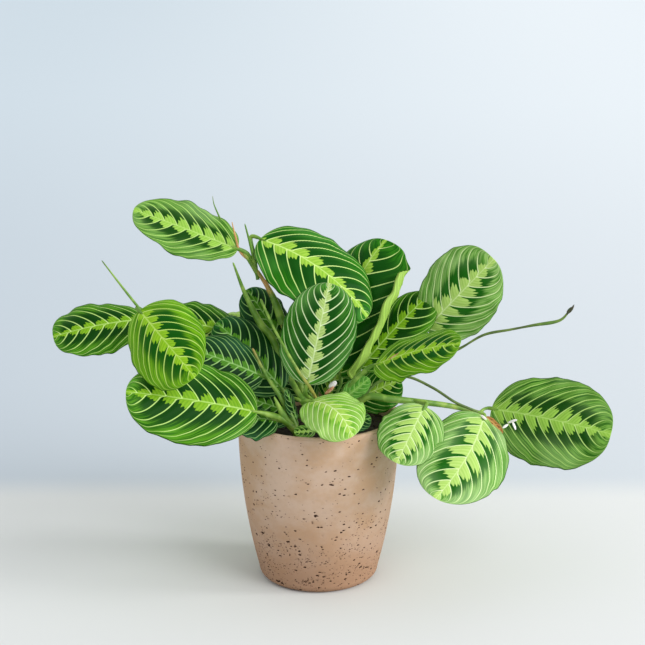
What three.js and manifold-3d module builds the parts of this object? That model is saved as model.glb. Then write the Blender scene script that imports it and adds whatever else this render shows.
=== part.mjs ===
// A prayer plant in a tapered, round-footed pot: pot, soil and the leafy shoots that stand in the soil.
// Millimetres, +Z up, origin at the middle of the pot's flat base, the plant's front towards -Y.

import * as THREE from 'three';
import { ParametricGeometry } from 'three/addons/geometries/ParametricGeometry.js';
import { mergeVertices } from 'three/addons/utils/BufferGeometryUtils.js';
import Module from 'manifold-3d';

const wasm = await Module();
wasm.setup();

// ---------------------------------------------------------------- driving dimensions

const POT = {
  height: 160,
  rimRadius: 75,
  footRadius: 54, // where the side, carried on, would meet the ground
  belly: 5.8, // how far the side swells out of a straight taper, half way up
  footRound: 9,
  footLean: 6, // degrees off upright where the rounded foot runs into the side
  sideStart: 21, // height of the side's lowest ring
  lip: 8, // the side's highest ring is this far below the rim
  rimRound: 1.6,
  wall: 5,
  floor: 8,
  floorRadius: 45,
  sides: 40,
};

const SOIL = {
  top: 146, // height at the wall
  crown: 4, // how much higher the middle is
  floorGap: 0.4,
  wallGap: 0.8,
  sides: 24,
  holeDepth: 20,
  holeRadius: 4.2,
  holeSides: 8,
  stemGap: 1, // below a stem's cut end
};

const BLADE = {
  thickness: 0.7,
  rows: 8,
  columns: 4,
  baseFullness: 0.45, // exponents of the outline: smaller is blunter
  tipFullness: 0.48,
  lean: 0.03, // added to the exponents with one sign on each half
  waves: 1.6, // ripples along a margin
  waveHeight: 2,
  waveLag: 1.9, // radians between the two margins' ripples
  wavedWidth: 60, // narrower blades ripple less
  smallWidth: 25, // narrower blades have no swollen joint
};

const STALK = {
  sides: 6,
  stepLength: 20,
  fewestSteps: 3,
  stemRadii: [3, 3, 2.6, 2.2, 1.8],
  petioleRadius: 1.5,
  footSwell: 1.15, // how much thicker a petiole starts
  riseAt: 0.45, // a petiole bows up here, as a share of its reach,
  rise: 0.08, // by this share of it
  pulvinusRadius: 1.9, // the swollen joint just below a blade
  pulvinusLength: 9,
  pulvinusShare: 1 / 3, // at most this share of the petiole
  intoBlade: 7, // how far a petiole runs on along the midrib
  intoBladeShare: 1 / 6, // at most this share of the blade's width
  intoBladeRadius: 0.8,
};

const COLOUR = {
  pot: 0xb29679,
  soil: 0x2e2118,
  leaf: 0x4c8a32,
  brightLeaf: 0x7fb445,
  blueLeaf: 0x2f6148,
  stalk: 0x7fa23f,
};

// A shoot: the root is where it stands in the soil [x, y]. Its stem goes on from there through the
// points of "stem", with "stemRadii" spread evenly along it, or straight up to its highest petiole.
//
// A spike is a rolled young leaf, a bare sheath or a thin stem: its path and the radii along it.
//
// A leaf: "from" is where its petiole leaves the shoot, "base" and "tip" are the ends of its blade,
// "face" is the way its upper side looks [degrees round from the front towards +X, degrees up].
// "arch" is how many degrees the midrib turns through, "cup" how many a half turns down to its margin,
// "fold" how many the halves rise at the midrib, "sway" how far the midrib bows sideways.
// "petiole" is the stalk's radius; "lean" and "tipFullness" take the place of the blade's own.

const SHOOTS = [
  {
    name: 'shoot_upper_left',
    root: [-10, -8],
    stem: [[-17, -5, 190], [-27, 0, 225], [-36, 6, 252], [-48, 12, 279], [-57, 15, 293]],
    spikes: [
      { path: [[-57, 15, 288], [-61, 10, 312], [-67, 5, 339]], radii: [1.6, 1.4, 0.8] },
      { path: [[-57, 15, 290], [-63, 12, 302], [-69, 10, 311]], radii: [1.8, 2.0, 1.4] },
      { path: [[-33, 3, 245], [-40, 7, 265], [-50, 12, 285]], radii: [4.4, 3.4, 1.2] },
    ],
    leaves: [
      { name: 'upper_left', from: [-57, 15, 292], base: [-74, 10, 314], tip: [-168, 5, 352], face: [-10, 58],
        width: 69, arch: 5, cup: 10, fold: 4 },
      { name: 'top', from: [-56, 14, 284], base: [-54, 20, 321], tip: [45, -15, 257], face: [10, 52],
        width: 86, arch: 45, cup: 25, sway: 4 },
      { name: 'dark_behind', from: [-20, -3, 200], base: [-31, 17, 215], tip: [-67, 32, 270], face: [20, 40],
        width: 50, arch: 20, cup: 25 },
    ],
  },
  {
    name: 'shoot_left',
    colour: COLOUR.brightLeaf,
    root: [-24, 6],
    stem: [[-34, 8, 182], [-55, 12, 208], [-90, 4, 226], [-125, -18, 247], [-156, -38, 265]],
    spikes: [
      { path: [[-155, -40, 264], [-173, -42, 289], [-193, -40, 316]], radii: [1.9, 1.6, 0.8] },
    ],
    leaves: [
      { name: 'far_left', from: [-138, -26, 254], base: [-160, -6, 252], tip: [-242, -20, 239], face: [-5, 48],
        width: 58, arch: 25, cup: 25, tipFullness: 0.36 },
      { name: 'left_front', from: [-150, -35, 262], base: [-160, -45, 271], tip: [-107, -110, 229],
        face: [-20, 40], width: 77, arch: 35, cup: 35, lean: 0.08 },
      { name: 'left_behind', from: [-55, 12, 208], base: [-64, 18, 226], tip: [-142, 5, 250], face: [0, 50],
        width: 58, arch: 20, cup: 25 },
    ],
  },
  {
    name: 'shoot_low_left',
    colour: COLOUR.brightLeaf,
    root: [-20, -42],
    stem: [[-22, -42, 162], [-34, -40, 187], [-48, -32, 207], [-60, -26, 230]],
    spikes: [
      { path: [[-22, -43, 158], [-31, -49, 172], [-40, -52, 192]], radii: [3, 3.2, 0.8] },
    ],
    leaves: [
      { name: 'low_left', from: [-22, -44, 158], base: [-55, -62, 181], tip: [-169, -95, 211], face: [-10, 38],
        width: 82, arch: 20, cup: 25, petiole: 3, lean: -0.05 },
      { name: 'rim_left', from: [-22, -44, 155], base: [-38, -50, 169], tip: [-88, -68, 175], face: [-20, 60],
        width: 46, arch: 25, cup: 25 },
      { name: 'mid_left', from: [-42, -36, 199], base: [-50, -29, 204], tip: [-112, -38, 232], face: [0, 38],
        width: 54, arch: 20, cup: 25 },
      { name: 'folded', from: [-20, -42, 158], base: [-20, -38, 166], tip: [-30, -40, 195], face: [60, 20],
        width: 18, arch: 10, cup: 20 },
    ],
  },
  {
    name: 'shoot_blue_left',
    colour: COLOUR.blueLeaf,
    root: [-6, -22],
    spikes: [
      { path: [[-12, -22, 174], [-33, 0, 206], [-44, 6, 232], [-53, 4, 244], [-67, 2, 273], [-78, 0, 304]],
        radii: [2.4, 3, 3.8, 3.4, 2, 0.8] },
    ],
    leaves: [
      { name: 'blue_left', from: [-12, -22, 174], base: [-33, -18, 188], tip: [-94, 0, 247], face: [20, 35],
        width: 64, arch: 25, cup: 25 },
      { name: 'dark_low', from: [-8, -22, 156], base: [-22, -20, 164], tip: [-66, -24, 182], face: [0, 45],
        width: 42, arch: 20, cup: 25 },
    ],
  },
  {
    name: 'shoot_centre',
    root: [4, -24],
    spikes: [
      { path: [[3, -28, 168], [-3, -46, 190], [-8, -56, 203], [-17, -58, 217], [-30, -50, 237], [-40, -28, 249],
        [-53, -6, 271]], radii: [1.6, 1.4, 1.2] },
    ],
    leaves: [
      { name: 'centre', from: [4, -26, 166], base: [-10, -46, 202], tip: [10, -32, 293], face: [0, 10],
        width: 70, arch: 25, cup: 25 },
    ],
  },
  {
    name: 'shoot_top_right',
    root: [14, 6],
    leaves: [
      { name: 'curled', from: [15, 6, 168], base: [20, 12, 192], tip: [63, 38, 316], face: [-30, 25],
        width: 80, arch: 50, cup: 40, sway: 8, tipFullness: 0.34 },
      { name: 'right_behind', from: [18, 6, 170], base: [43, 6, 208], tip: [104, 26, 267], face: [-10, 50],
        width: 58, arch: 20, cup: 25 },
      { name: 'right_top', from: [18, 7, 166], base: [100, 22, 234], tip: [158, 6, 303], face: [10, 30],
        width: 78, arch: 25, cup: 25, lean: -0.06, tipFullness: 0.38 },
    ],
  },
  {
    name: 'shoot_right',
    colour: COLOUR.brightLeaf,
    root: [14, -28],
    leaves: [
      { name: 'right_mid', from: [16, -30, 174], base: [51, -45, 220], tip: [124, -95, 255], face: [0, 58],
        width: 60, arch: 20, cup: 20, petiole: 2.2 },
      { name: 'young', from: [15, -29, 166], base: [24, -36, 186], tip: [46, -34, 204], face: [20, 20],
        width: 20, arch: 30, cup: 40 },
    ],
  },
  {
    name: 'shoot_front',
    colour: COLOUR.brightLeaf,
    root: [4, -48],
    leaves: [
      { name: 'front_small', from: [3, -49, 160], base: [-8, -56, 189], tip: [30, -103, 172], face: [10, 52],
        width: 60, arch: 60, cup: 25, sway: 5 },
      { name: 'rim_right', from: [5, -48, 156], base: [19, -43, 162], tip: [48, -42, 168], face: [20, 55],
        width: 25, arch: 20, cup: 25 },
      { name: 'rim_point', from: [3, -49, 154], base: [-3, -53, 160], tip: [-22, -63, 162], face: [0, 30],
        width: 13, arch: 10, cup: 20 },
    ],
  },
  {
    name: 'shoot_runner',
    root: [30, -22],
    stem: [[32, -24, 168], [44, -28, 184], [66, -28, 182], [95, -22, 177], [122, -15, 171], [152, -10, 162]],
    stemRadii: [2.4, 3.2, 3.6, 3, 2.6, 2],
    spikes: [
      { path: [[33, -24, 172], [55, -12, 193], [80, -10, 198], [105, -12, 188], [127, -14, 174], [148, -12, 164]],
        radii: [1.4, 1.3, 1.3] },
    ],
    leaves: [
      { name: 'low_right', from: [84, -24, 179], base: [97, -34, 177], tip: [70, -86, 141], face: [0, 30],
        width: 62, arch: 30, cup: 25 },
      { name: 'low_front', from: [145, -11, 164], base: [153, -15, 161], tip: [104, -106, 115], face: [20, 45],
        width: 82, arch: 30, cup: 25, sway: 5 },
      { name: 'far_right', from: [150, -10, 163], base: [161, -5, 165], tip: [262, -38, 153], face: [10, 32],
        width: 91, arch: 25, cup: 20, lean: -0.01, tipFullness: 0.34 },
      { name: 'dry_bract', from: [152, -10, 162], base: [155, -14, 160], tip: [170, -24, 147], face: [20, 40],
        width: 10, arch: 30, cup: 30 },
    ],
  },
  {
    name: 'flower_stalk',
    colour: COLOUR.stalk,
    root: [26, 2],
    spikes: [
      { path: [[30, 2, 168], [60, 0, 192], [100, -14, 213], [129, -20, 228], [151, -20, 241], [175, -20, 246],
        [195, -20, 250], [220, -20, 255], [226, -20, 261], [229, -20, 267]],
        radii: [1.4, 1.2, 1.2, 1.2, 1.6, 1.1, 1.1, 1.6, 1.9, 0.9] },
    ],
    leaves: [
      { name: 'dark_right', from: [27, 2, 160], base: [33, 4, 170], tip: [77, 8, 189], face: [20, 45],
        width: 46, arch: 20, cup: 25 },
    ],
  },
  {
    name: 'shoot_back_left',
    root: [-26, 24],
    leaves: [
      { name: 'back_left_high', from: [-27, 26, 170], base: [-50, 52, 234], tip: [-106, 118, 218],
        face: [-140, 45], width: 76, arch: 30, cup: 25 },
      { name: 'back_left_middle', from: [-27, 26, 168], base: [-66, 46, 204], tip: [-150, 78, 194],
        face: [-120, 40], width: 70, arch: 30, cup: 25 },
      { name: 'back_left_low', from: [-27, 25, 162], base: [-74, 50, 172], tip: [-152, 104, 146],
        face: [-130, 45], width: 78, arch: 30, cup: 25 },
    ],
  },
  {
    name: 'shoot_back',
    root: [-2, 34],
    leaves: [
      { name: 'back_high', from: [-2, 36, 178], base: [12, 58, 232], tip: [14, 132, 238], face: [180, 40],
        width: 74, arch: 35, cup: 25 },
      { name: 'back_middle', from: [-2, 36, 170], base: [8, 68, 194], tip: [24, 160, 178], face: [172, 45],
        width: 78, arch: 35, cup: 25 },
      { name: 'back_inner', from: [-2, 35, 162], base: [-26, 68, 174], tip: [-52, 146, 142], face: [-160, 45],
        width: 72, arch: 35, cup: 25 },
      { name: 'inner_left', from: [-4, 33, 160], base: [-6, 24, 167], tip: [-32, 17, 206], face: [-5, 25],
        width: 42, arch: 20, cup: 25 },
      { name: 'inner_right', from: [0, 33, 160], base: [6, 25, 167], tip: [26, 24, 205], face: [5, 25],
        width: 36, arch: 20, cup: 25 },
    ],
  },
  {
    name: 'shoot_back_right',
    root: [26, 26],
    leaves: [
      { name: 'back_right_high', from: [27, 28, 174], base: [54, 54, 226], tip: [112, 112, 222],
        face: [140, 42], width: 76, arch: 30, cup: 25 },
      { name: 'back_right_middle', from: [27, 28, 170], base: [58, 46, 194], tip: [128, 84, 200],
        face: [120, 45], width: 62, arch: 25, cup: 25 },
      { name: 'back_right_low', from: [27, 27, 164], base: [38, 68, 168], tip: [56, 144, 140],
        face: [165, 45], width: 66, arch: 35, cup: 25 },
    ],
  },
];

// ---------------------------------------------------------------- helpers

const vector = ([x, y, z]) => new THREE.Vector3(x, y, z);
const radians = THREE.MathUtils.degToRad;

function material(name, colour, roughness) {
  return new THREE.MeshStandardMaterial({ name, color: colour, roughness, metalness: 0 });
}

// Shared corners merged, triangles that have shrunk to a line dropped, faces pointing out.
function closedMesh(geometry) {
  geometry.deleteAttribute('normal');
  geometry.deleteAttribute('uv');
  const merged = mergeVertices(geometry, 1e-4);
  const position = merged.getAttribute('position');
  const index = merged.getIndex().array;
  const cornerPoint = (corner) => new THREE.Vector3().fromBufferAttribute(position, corner);
  const corners = [];
  let volume = 0;
  for (let i = 0; i < index.length; i += 3) {
    const [a, b, c] = index.slice(i, i + 3);
    if (a !== b && b !== c && c !== a) {
      corners.push(a, b, c);
      volume += cornerPoint(a).dot(cornerPoint(b).cross(cornerPoint(c)));
    }
  }
  if (volume < 0) {
    corners.reverse();
  }
  return { vertices: new Float32Array(position.array), triangles: new Uint32Array(corners) };
}

function solid(geometry) {
  const { vertices, triangles } = closedMesh(geometry);
  return new wasm.Manifold(new wasm.Mesh({ numProp: 3, vertProperties: vertices, triVerts: triangles }));
}

function toGeometry(body) {
  const mesh = body.getMesh();
  const geometry = new THREE.BufferGeometry();
  geometry.setAttribute('position', new THREE.BufferAttribute(new Float32Array(mesh.vertProperties), 3));
  geometry.setIndex(new THREE.BufferAttribute(new Uint32Array(mesh.triVerts), 1));
  geometry.computeVertexNormals();
  return geometry;
}

// ---------------------------------------------------------------- pot and soil

function outerRadius(z) {
  const t = z / POT.height;
  return POT.footRadius + (POT.rimRadius - POT.footRadius) * t + POT.belly * 4 * t * (1 - t);
}

// Points of a profile stand in the x-y plane, with y as the height.
function arc(centreX, centreY, radius, fromDegrees, toDegrees, steps) {
  const points = [];
  for (let i = 0; i <= steps; i += 1) {
    const angle = radians(fromDegrees + ((toDegrees - fromDegrees) * i) / steps);
    points.push(new THREE.Vector2(centreX + radius * Math.cos(angle), centreY + radius * Math.sin(angle)));
  }
  return points;
}

function side(fromZ, toZ, inset, steps) {
  const points = [];
  for (let i = 0; i <= steps; i += 1) {
    const z = fromZ + ((toZ - fromZ) * i) / steps;
    points.push(new THREE.Vector2(outerRadius(z) - inset, z));
  }
  return points;
}

function lathe(profile, sides) {
  return new THREE.LatheGeometry(profile, sides).rotateX(Math.PI / 2);
}

function potSolid() {
  const baseEdge = outerRadius(POT.footRound) - POT.footRound;
  const rimEdge = outerRadius(POT.height) - POT.rimRound;
  const highRing = POT.height - POT.lip;
  const profile = [
    new THREE.Vector2(0, 0),
    ...arc(baseEdge, POT.footRound, POT.footRound, -90, -POT.footLean, 4),
    ...side(POT.sideStart, highRing, 0, 5),
    ...arc(rimEdge, POT.height - POT.rimRound, POT.rimRound, 0, 90, 2),
    new THREE.Vector2(outerRadius(POT.height) - POT.wall, POT.height),
    ...side(highRing, POT.floor + POT.footRound, POT.wall, 4),
    new THREE.Vector2(POT.floorRadius, POT.floor),
    new THREE.Vector2(0, POT.floor),
  ];
  return solid(lathe(profile, POT.sides));
}

function soilSolid() {
  const low = POT.floor + SOIL.floorGap;
  const wallRadius = outerRadius(SOIL.top) - POT.wall - SOIL.wallGap;
  const profile = [
    new THREE.Vector2(0, low),
    new THREE.Vector2(POT.floorRadius - SOIL.wallGap, low),
    ...side(low + POT.footRound, SOIL.top, POT.wall + SOIL.wallGap, 5),
    new THREE.Vector2(wallRadius / 2, SOIL.top + SOIL.crown * (1 - 1 / 4)),
    new THREE.Vector2(0, SOIL.top + SOIL.crown),
  ];
  let body = solid(lathe(profile, SOIL.sides));
  for (const shoot of SHOOTS) {
    const height = SOIL.holeDepth + 2 * SOIL.crown;
    const hole = new THREE.CylinderGeometry(SOIL.holeRadius, SOIL.holeRadius, height, SOIL.holeSides);
    hole.rotateX(Math.PI / 2).translate(...shoot.root, SOIL.top - SOIL.holeDepth + height / 2);
    body = body.subtract(solid(hole));
  }
  return body;
}

// ---------------------------------------------------------------- stalks and blades

// A round stalk along a smooth curve, with its radius running through a list of values.
function stalk(path, radii) {
  const curve = new THREE.CatmullRomCurve3(path, false, 'centripetal');
  const steps = Math.max(STALK.fewestSteps, Math.round(curve.getLength() / STALK.stepLength));
  const frames = curve.computeFrenetFrames(steps, false);
  const radiusAt = (t) => {
    const place = t * (radii.length - 1);
    const below = Math.min(Math.floor(place), radii.length - 2);
    return THREE.MathUtils.lerp(radii[below], radii[below + 1], place - below);
  };
  const profile = [new THREE.Vector2(0, 0)];
  for (let i = 0; i <= steps; i += 1) {
    profile.push(new THREE.Vector2(radiusAt(i / steps), i));
  }
  profile.push(new THREE.Vector2(0, steps));
  const geometry = new THREE.LatheGeometry(profile, STALK.sides);
  const position = geometry.getAttribute('position');
  for (let i = 0; i < position.count; i += 1) {
    const step = Math.round(position.getY(i));
    const point = curve.getPointAt(step / steps);
    point.addScaledVector(frames.normals[step], position.getX(i));
    point.addScaledVector(frames.binormals[step], position.getZ(i));
    position.setXYZ(i, point.x, point.y, point.z);
  }
  return solid(geometry);
}

// The blade's own axes: along from base to tip, up from its upper face, across to one side.
function bladeFrame(leaf) {
  const base = vector(leaf.base);
  const along = vector(leaf.tip).sub(base);
  const length = along.length();
  along.normalize();
  const [round, rise] = leaf.face.map(radians);
  const up = new THREE.Vector3(
    Math.sin(round) * Math.cos(rise),
    -Math.cos(round) * Math.cos(rise),
    Math.sin(rise),
  );
  up.addScaledVector(along, -up.dot(along)).normalize();
  const across = new THREE.Vector3().crossVectors(up, along);
  return { base, along, up, across, length };
}

// Half the width at s (0 base, 1 tip) as a share of the largest half width. The two halves lean:
// one is widest nearer the base, the other nearer the tip.
function halfWidth(leaf, s, half) {
  const lean = (leaf.lean ?? BLADE.lean) * half;
  const p = BLADE.baseFullness - lean;
  const q = (leaf.tipFullness ?? BLADE.tipFullness) + lean;
  const widest = p / (p + q);
  return (s ** p * (1 - s) ** q) / (widest ** p * (1 - widest) ** q);
}

// A point of the blade: s along the midrib, u across (-1 to 1), lift off its middle surface. The
// midrib is an arc, and each half bends down from it along an arc of its own.
function bladePoint(leaf, s, u, lift) {
  const { base, along, up, across, length } = bladeFrame(leaf);
  const arch = radians(leaf.arch);
  const turn = arch * (s - 0.5);
  const bend = length / 2 / Math.sin(arch / 2);
  const point = base.clone();
  point.addScaledVector(along, bend * (Math.sin(turn) + Math.sin(arch / 2)));
  point.addScaledVector(up, bend * (Math.cos(turn) - Math.cos(arch / 2)));
  point.addScaledVector(across, (leaf.sway ?? 0) * 4 * s * (1 - s));
  const above = along.clone().multiplyScalar(Math.sin(turn)).addScaledVector(up, Math.cos(turn));

  const outward = Math.sign(u);
  const share = halfWidth(leaf, s, outward);
  const reach = Math.abs(u) * share * (leaf.width / 2);
  const fold = radians(leaf.fold ?? 0);
  const curve = -radians(leaf.cup) / (leaf.width / 2);
  const slope = fold + curve * reach;
  const sideways = (Math.sin(slope) - Math.sin(fold)) / curve;
  const ripplePhase = 2 * Math.PI * BLADE.waves * s + (u > 0 ? 0 : BLADE.waveLag);
  const rippleHeight = BLADE.waveHeight * Math.min(1, leaf.width / BLADE.wavedWidth);
  const height = (Math.cos(fold) - Math.cos(slope)) / curve + rippleHeight * share * u * u * Math.sin(ripplePhase);
  point.addScaledVector(across, outward * (sideways - lift * share * Math.sin(slope)));
  point.addScaledVector(above, height + lift * Math.cos(slope));
  return point;
}

// The closed skin of a blade: over the upper face from one margin to the other, back under the lower.
function bladeSolid(leaf) {
  const { rows, columns, thickness } = BLADE;
  const around = 2 * columns + 2;
  const skin = (round, lengthways, target) => {
    const step = Math.round(round * around) % around;
    const isAbove = step <= columns;
    const column = isAbove ? step : around - 1 - step;
    const u = (2 * column) / columns - 1;
    const s = (1 - Math.cos(Math.PI * lengthways)) / 2;
    target.copy(bladePoint(leaf, s, u, (isAbove ? thickness : -thickness) / 2));
  };
  return solid(new ParametricGeometry(skin, around, rows));
}

// A petiole bows up from the shoot, swells just below the blade and runs on along the midrib.
function petioleSolid(leaf) {
  const start = vector(leaf.from);
  const base = bladePoint(leaf, 0, 0, 0);
  const firstRow = (1 - Math.cos(Math.PI / BLADE.rows)) / 2;
  const into = bladePoint(leaf, firstRow, 0, 0).sub(base).normalize();
  const reach = start.distanceTo(base);
  const pulvinus = Math.min(STALK.pulvinusLength, reach * STALK.pulvinusShare);
  const runOn = Math.min(STALK.intoBlade, leaf.width * STALK.intoBladeShare);
  const swell = base.clone().addScaledVector(into, -pulvinus);
  const bow = start.clone().lerp(swell, STALK.riseAt).add(new THREE.Vector3(0, 0, reach * STALK.rise));
  const end = base.clone().addScaledVector(into, runOn);
  const thick = leaf.petiole ?? STALK.petioleRadius;
  const radii = leaf.width < BLADE.smallWidth
    ? [thick, thick, STALK.intoBladeRadius]
    : [thick * STALK.footSwell, thick, Math.max(thick, STALK.pulvinusRadius), STALK.intoBladeRadius];
  return stalk([start, bow, swell, end], radii);
}

// A shoot: its stem out of the soil, with the stalks, petioles and blades that grow on it.
function shootSolid(shoot) {
  const [x, y] = shoot.root;
  const foot = new THREE.Vector3(x, y, SOIL.top - SOIL.holeDepth + SOIL.stemGap);
  const ground = new THREE.Vector3(x, y, SOIL.top + SOIL.crown);
  const petioleStarts = shoot.leaves.map((leaf) => leaf.from);
  const highest = petioleStarts.reduce((a, b) => (b[2] > a[2] ? b : a));
  const stem = shoot.stem ?? [highest];
  let body = stalk([foot, ground, ...stem.map(vector)], shoot.stemRadii ?? STALK.stemRadii);
  for (const spike of shoot.spikes ?? []) {
    body = body.add(stalk(spike.path.map(vector), spike.radii));
  }
  for (const leaf of shoot.leaves) {
    body = body.add(petioleSolid(leaf)).add(bladeSolid(leaf));
  }
  return body;
}

// ---------------------------------------------------------------- the plant

const plant = new THREE.Group();

function addPart(name, body, colour, roughness) {
  const mesh = new THREE.Mesh(toGeometry(body), material(name, colour, roughness));
  mesh.name = name;
  plant.add(mesh);
}

addPart('pot', potSolid(), COLOUR.pot, 0.85);
addPart('soil', soilSolid(), COLOUR.soil, 0.95);
for (const shoot of SHOOTS) {
  addPart(shoot.name, shootSolid(shoot), shoot.colour ?? COLOUR.leaf, 0.45);
}

export default plant;
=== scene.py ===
"""The look of a potted prayer plant: its patterned leaves, stalks, flowers, soil and pitted pot.

Lengths in the plant's tables are millimetres, as they are in its solids, and MM turns them into metres.
+Z is up and the plant's front looks along -Y.
"""

import math
from dataclasses import dataclass, field

import bpy
import numpy as np
from bpy.props import FloatProperty, FloatVectorProperty, IntProperty, PointerProperty
from mathutils import Color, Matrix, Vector


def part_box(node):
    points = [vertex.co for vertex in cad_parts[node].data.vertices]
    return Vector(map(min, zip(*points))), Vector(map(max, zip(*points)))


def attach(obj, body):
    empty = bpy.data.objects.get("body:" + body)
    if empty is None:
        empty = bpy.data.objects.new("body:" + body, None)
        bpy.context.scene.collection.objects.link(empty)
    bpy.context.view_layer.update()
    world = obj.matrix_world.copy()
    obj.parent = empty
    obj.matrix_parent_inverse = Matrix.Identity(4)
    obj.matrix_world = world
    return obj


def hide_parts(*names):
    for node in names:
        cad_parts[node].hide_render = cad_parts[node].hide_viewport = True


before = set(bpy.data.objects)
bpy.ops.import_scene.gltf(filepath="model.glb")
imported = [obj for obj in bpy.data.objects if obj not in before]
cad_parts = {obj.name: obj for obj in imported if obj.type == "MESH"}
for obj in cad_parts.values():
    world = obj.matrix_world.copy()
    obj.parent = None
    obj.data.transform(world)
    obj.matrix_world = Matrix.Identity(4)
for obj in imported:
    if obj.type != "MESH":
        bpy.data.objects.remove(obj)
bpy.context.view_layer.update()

bl_info = {
    "name": "Potted prayer plant",
    "version": (1, 0, 0),
    "blender": (4, 5, 0),
    "location": "3D View > Sidebar > Prayer plant",
    "description": "Builds a prayer plant in its pot, leaf by leaf",
    "category": "Add Mesh",
}

MM = 0.001
BODY = "root"
POT_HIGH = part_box("pot")[1]
SOIL_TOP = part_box("soil")[1].z


def rgb(red, green, blue):
    """A colour as a screen shows it, 0 to 255, turned into the scene's linear light."""
    return tuple(Color((red / 255, green / 255, blue / 255)).from_srgb_to_scene_linear())


# ---------------------------------------------------------------- the plant's plan


@dataclass
class Leaf:
    """A blade on its petiole. start is where the petiole leaves the shoot, and base and tip are the
    blade's ends. face is where its upper side looks: degrees round from the front towards +X, and
    degrees up. In degrees, arch turns the midrib from end to end, cup turns the halves down and fold
    lifts them at the midrib. sway bows the midrib sideways and point draws the tip out, both in mm.
    lean brings one half's widest place nearer the base and the other's nearer the tip, and tip_taper
    slims the blade towards its tip. petiole is the stalk's radius, pairs counts the side veins and band
    is the pale band's reach as a share of the half width. roll turns one margin up and over: the side,
    from and to which share of the length, and its radius."""

    name: str
    start: tuple
    base: tuple
    tip: tuple
    face: tuple
    width: float
    arch: float = 20
    cup: float = 25
    fold: float = 0
    sway: float = 0
    lean: float = 0.03
    tip_taper: float = 0.48
    petiole: float = 1.5
    tone: str = "deep"
    pairs: int = 9
    band: float = 0.24
    point: float = 0
    roll: tuple = ()


@dataclass
class Stalk:
    """A rolled young leaf, a bare sheath or a stem: its path, and its radii and tints, which are spread
    evenly along it. A tint is 0 for green, 1 for the dry, pinkish brown of an old sheath and -1 for
    dark."""

    path: list
    radii: list
    tints: list = field(default_factory=lambda: [0.0])


@dataclass
class Shoot:
    """What grew from one root. Its stem runs up from there through the stem's points, or else to the
    highest petiole. spikes are its rolled young leaves, bare sheaths and other thin stalks."""

    root: tuple
    leaves: list
    stem: list = ()
    stem_radii: tuple = (3, 3, 2.6, 2.2, 1.8)
    stem_tints: tuple = (0.2, 0.1)
    spikes: list = ()


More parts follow.
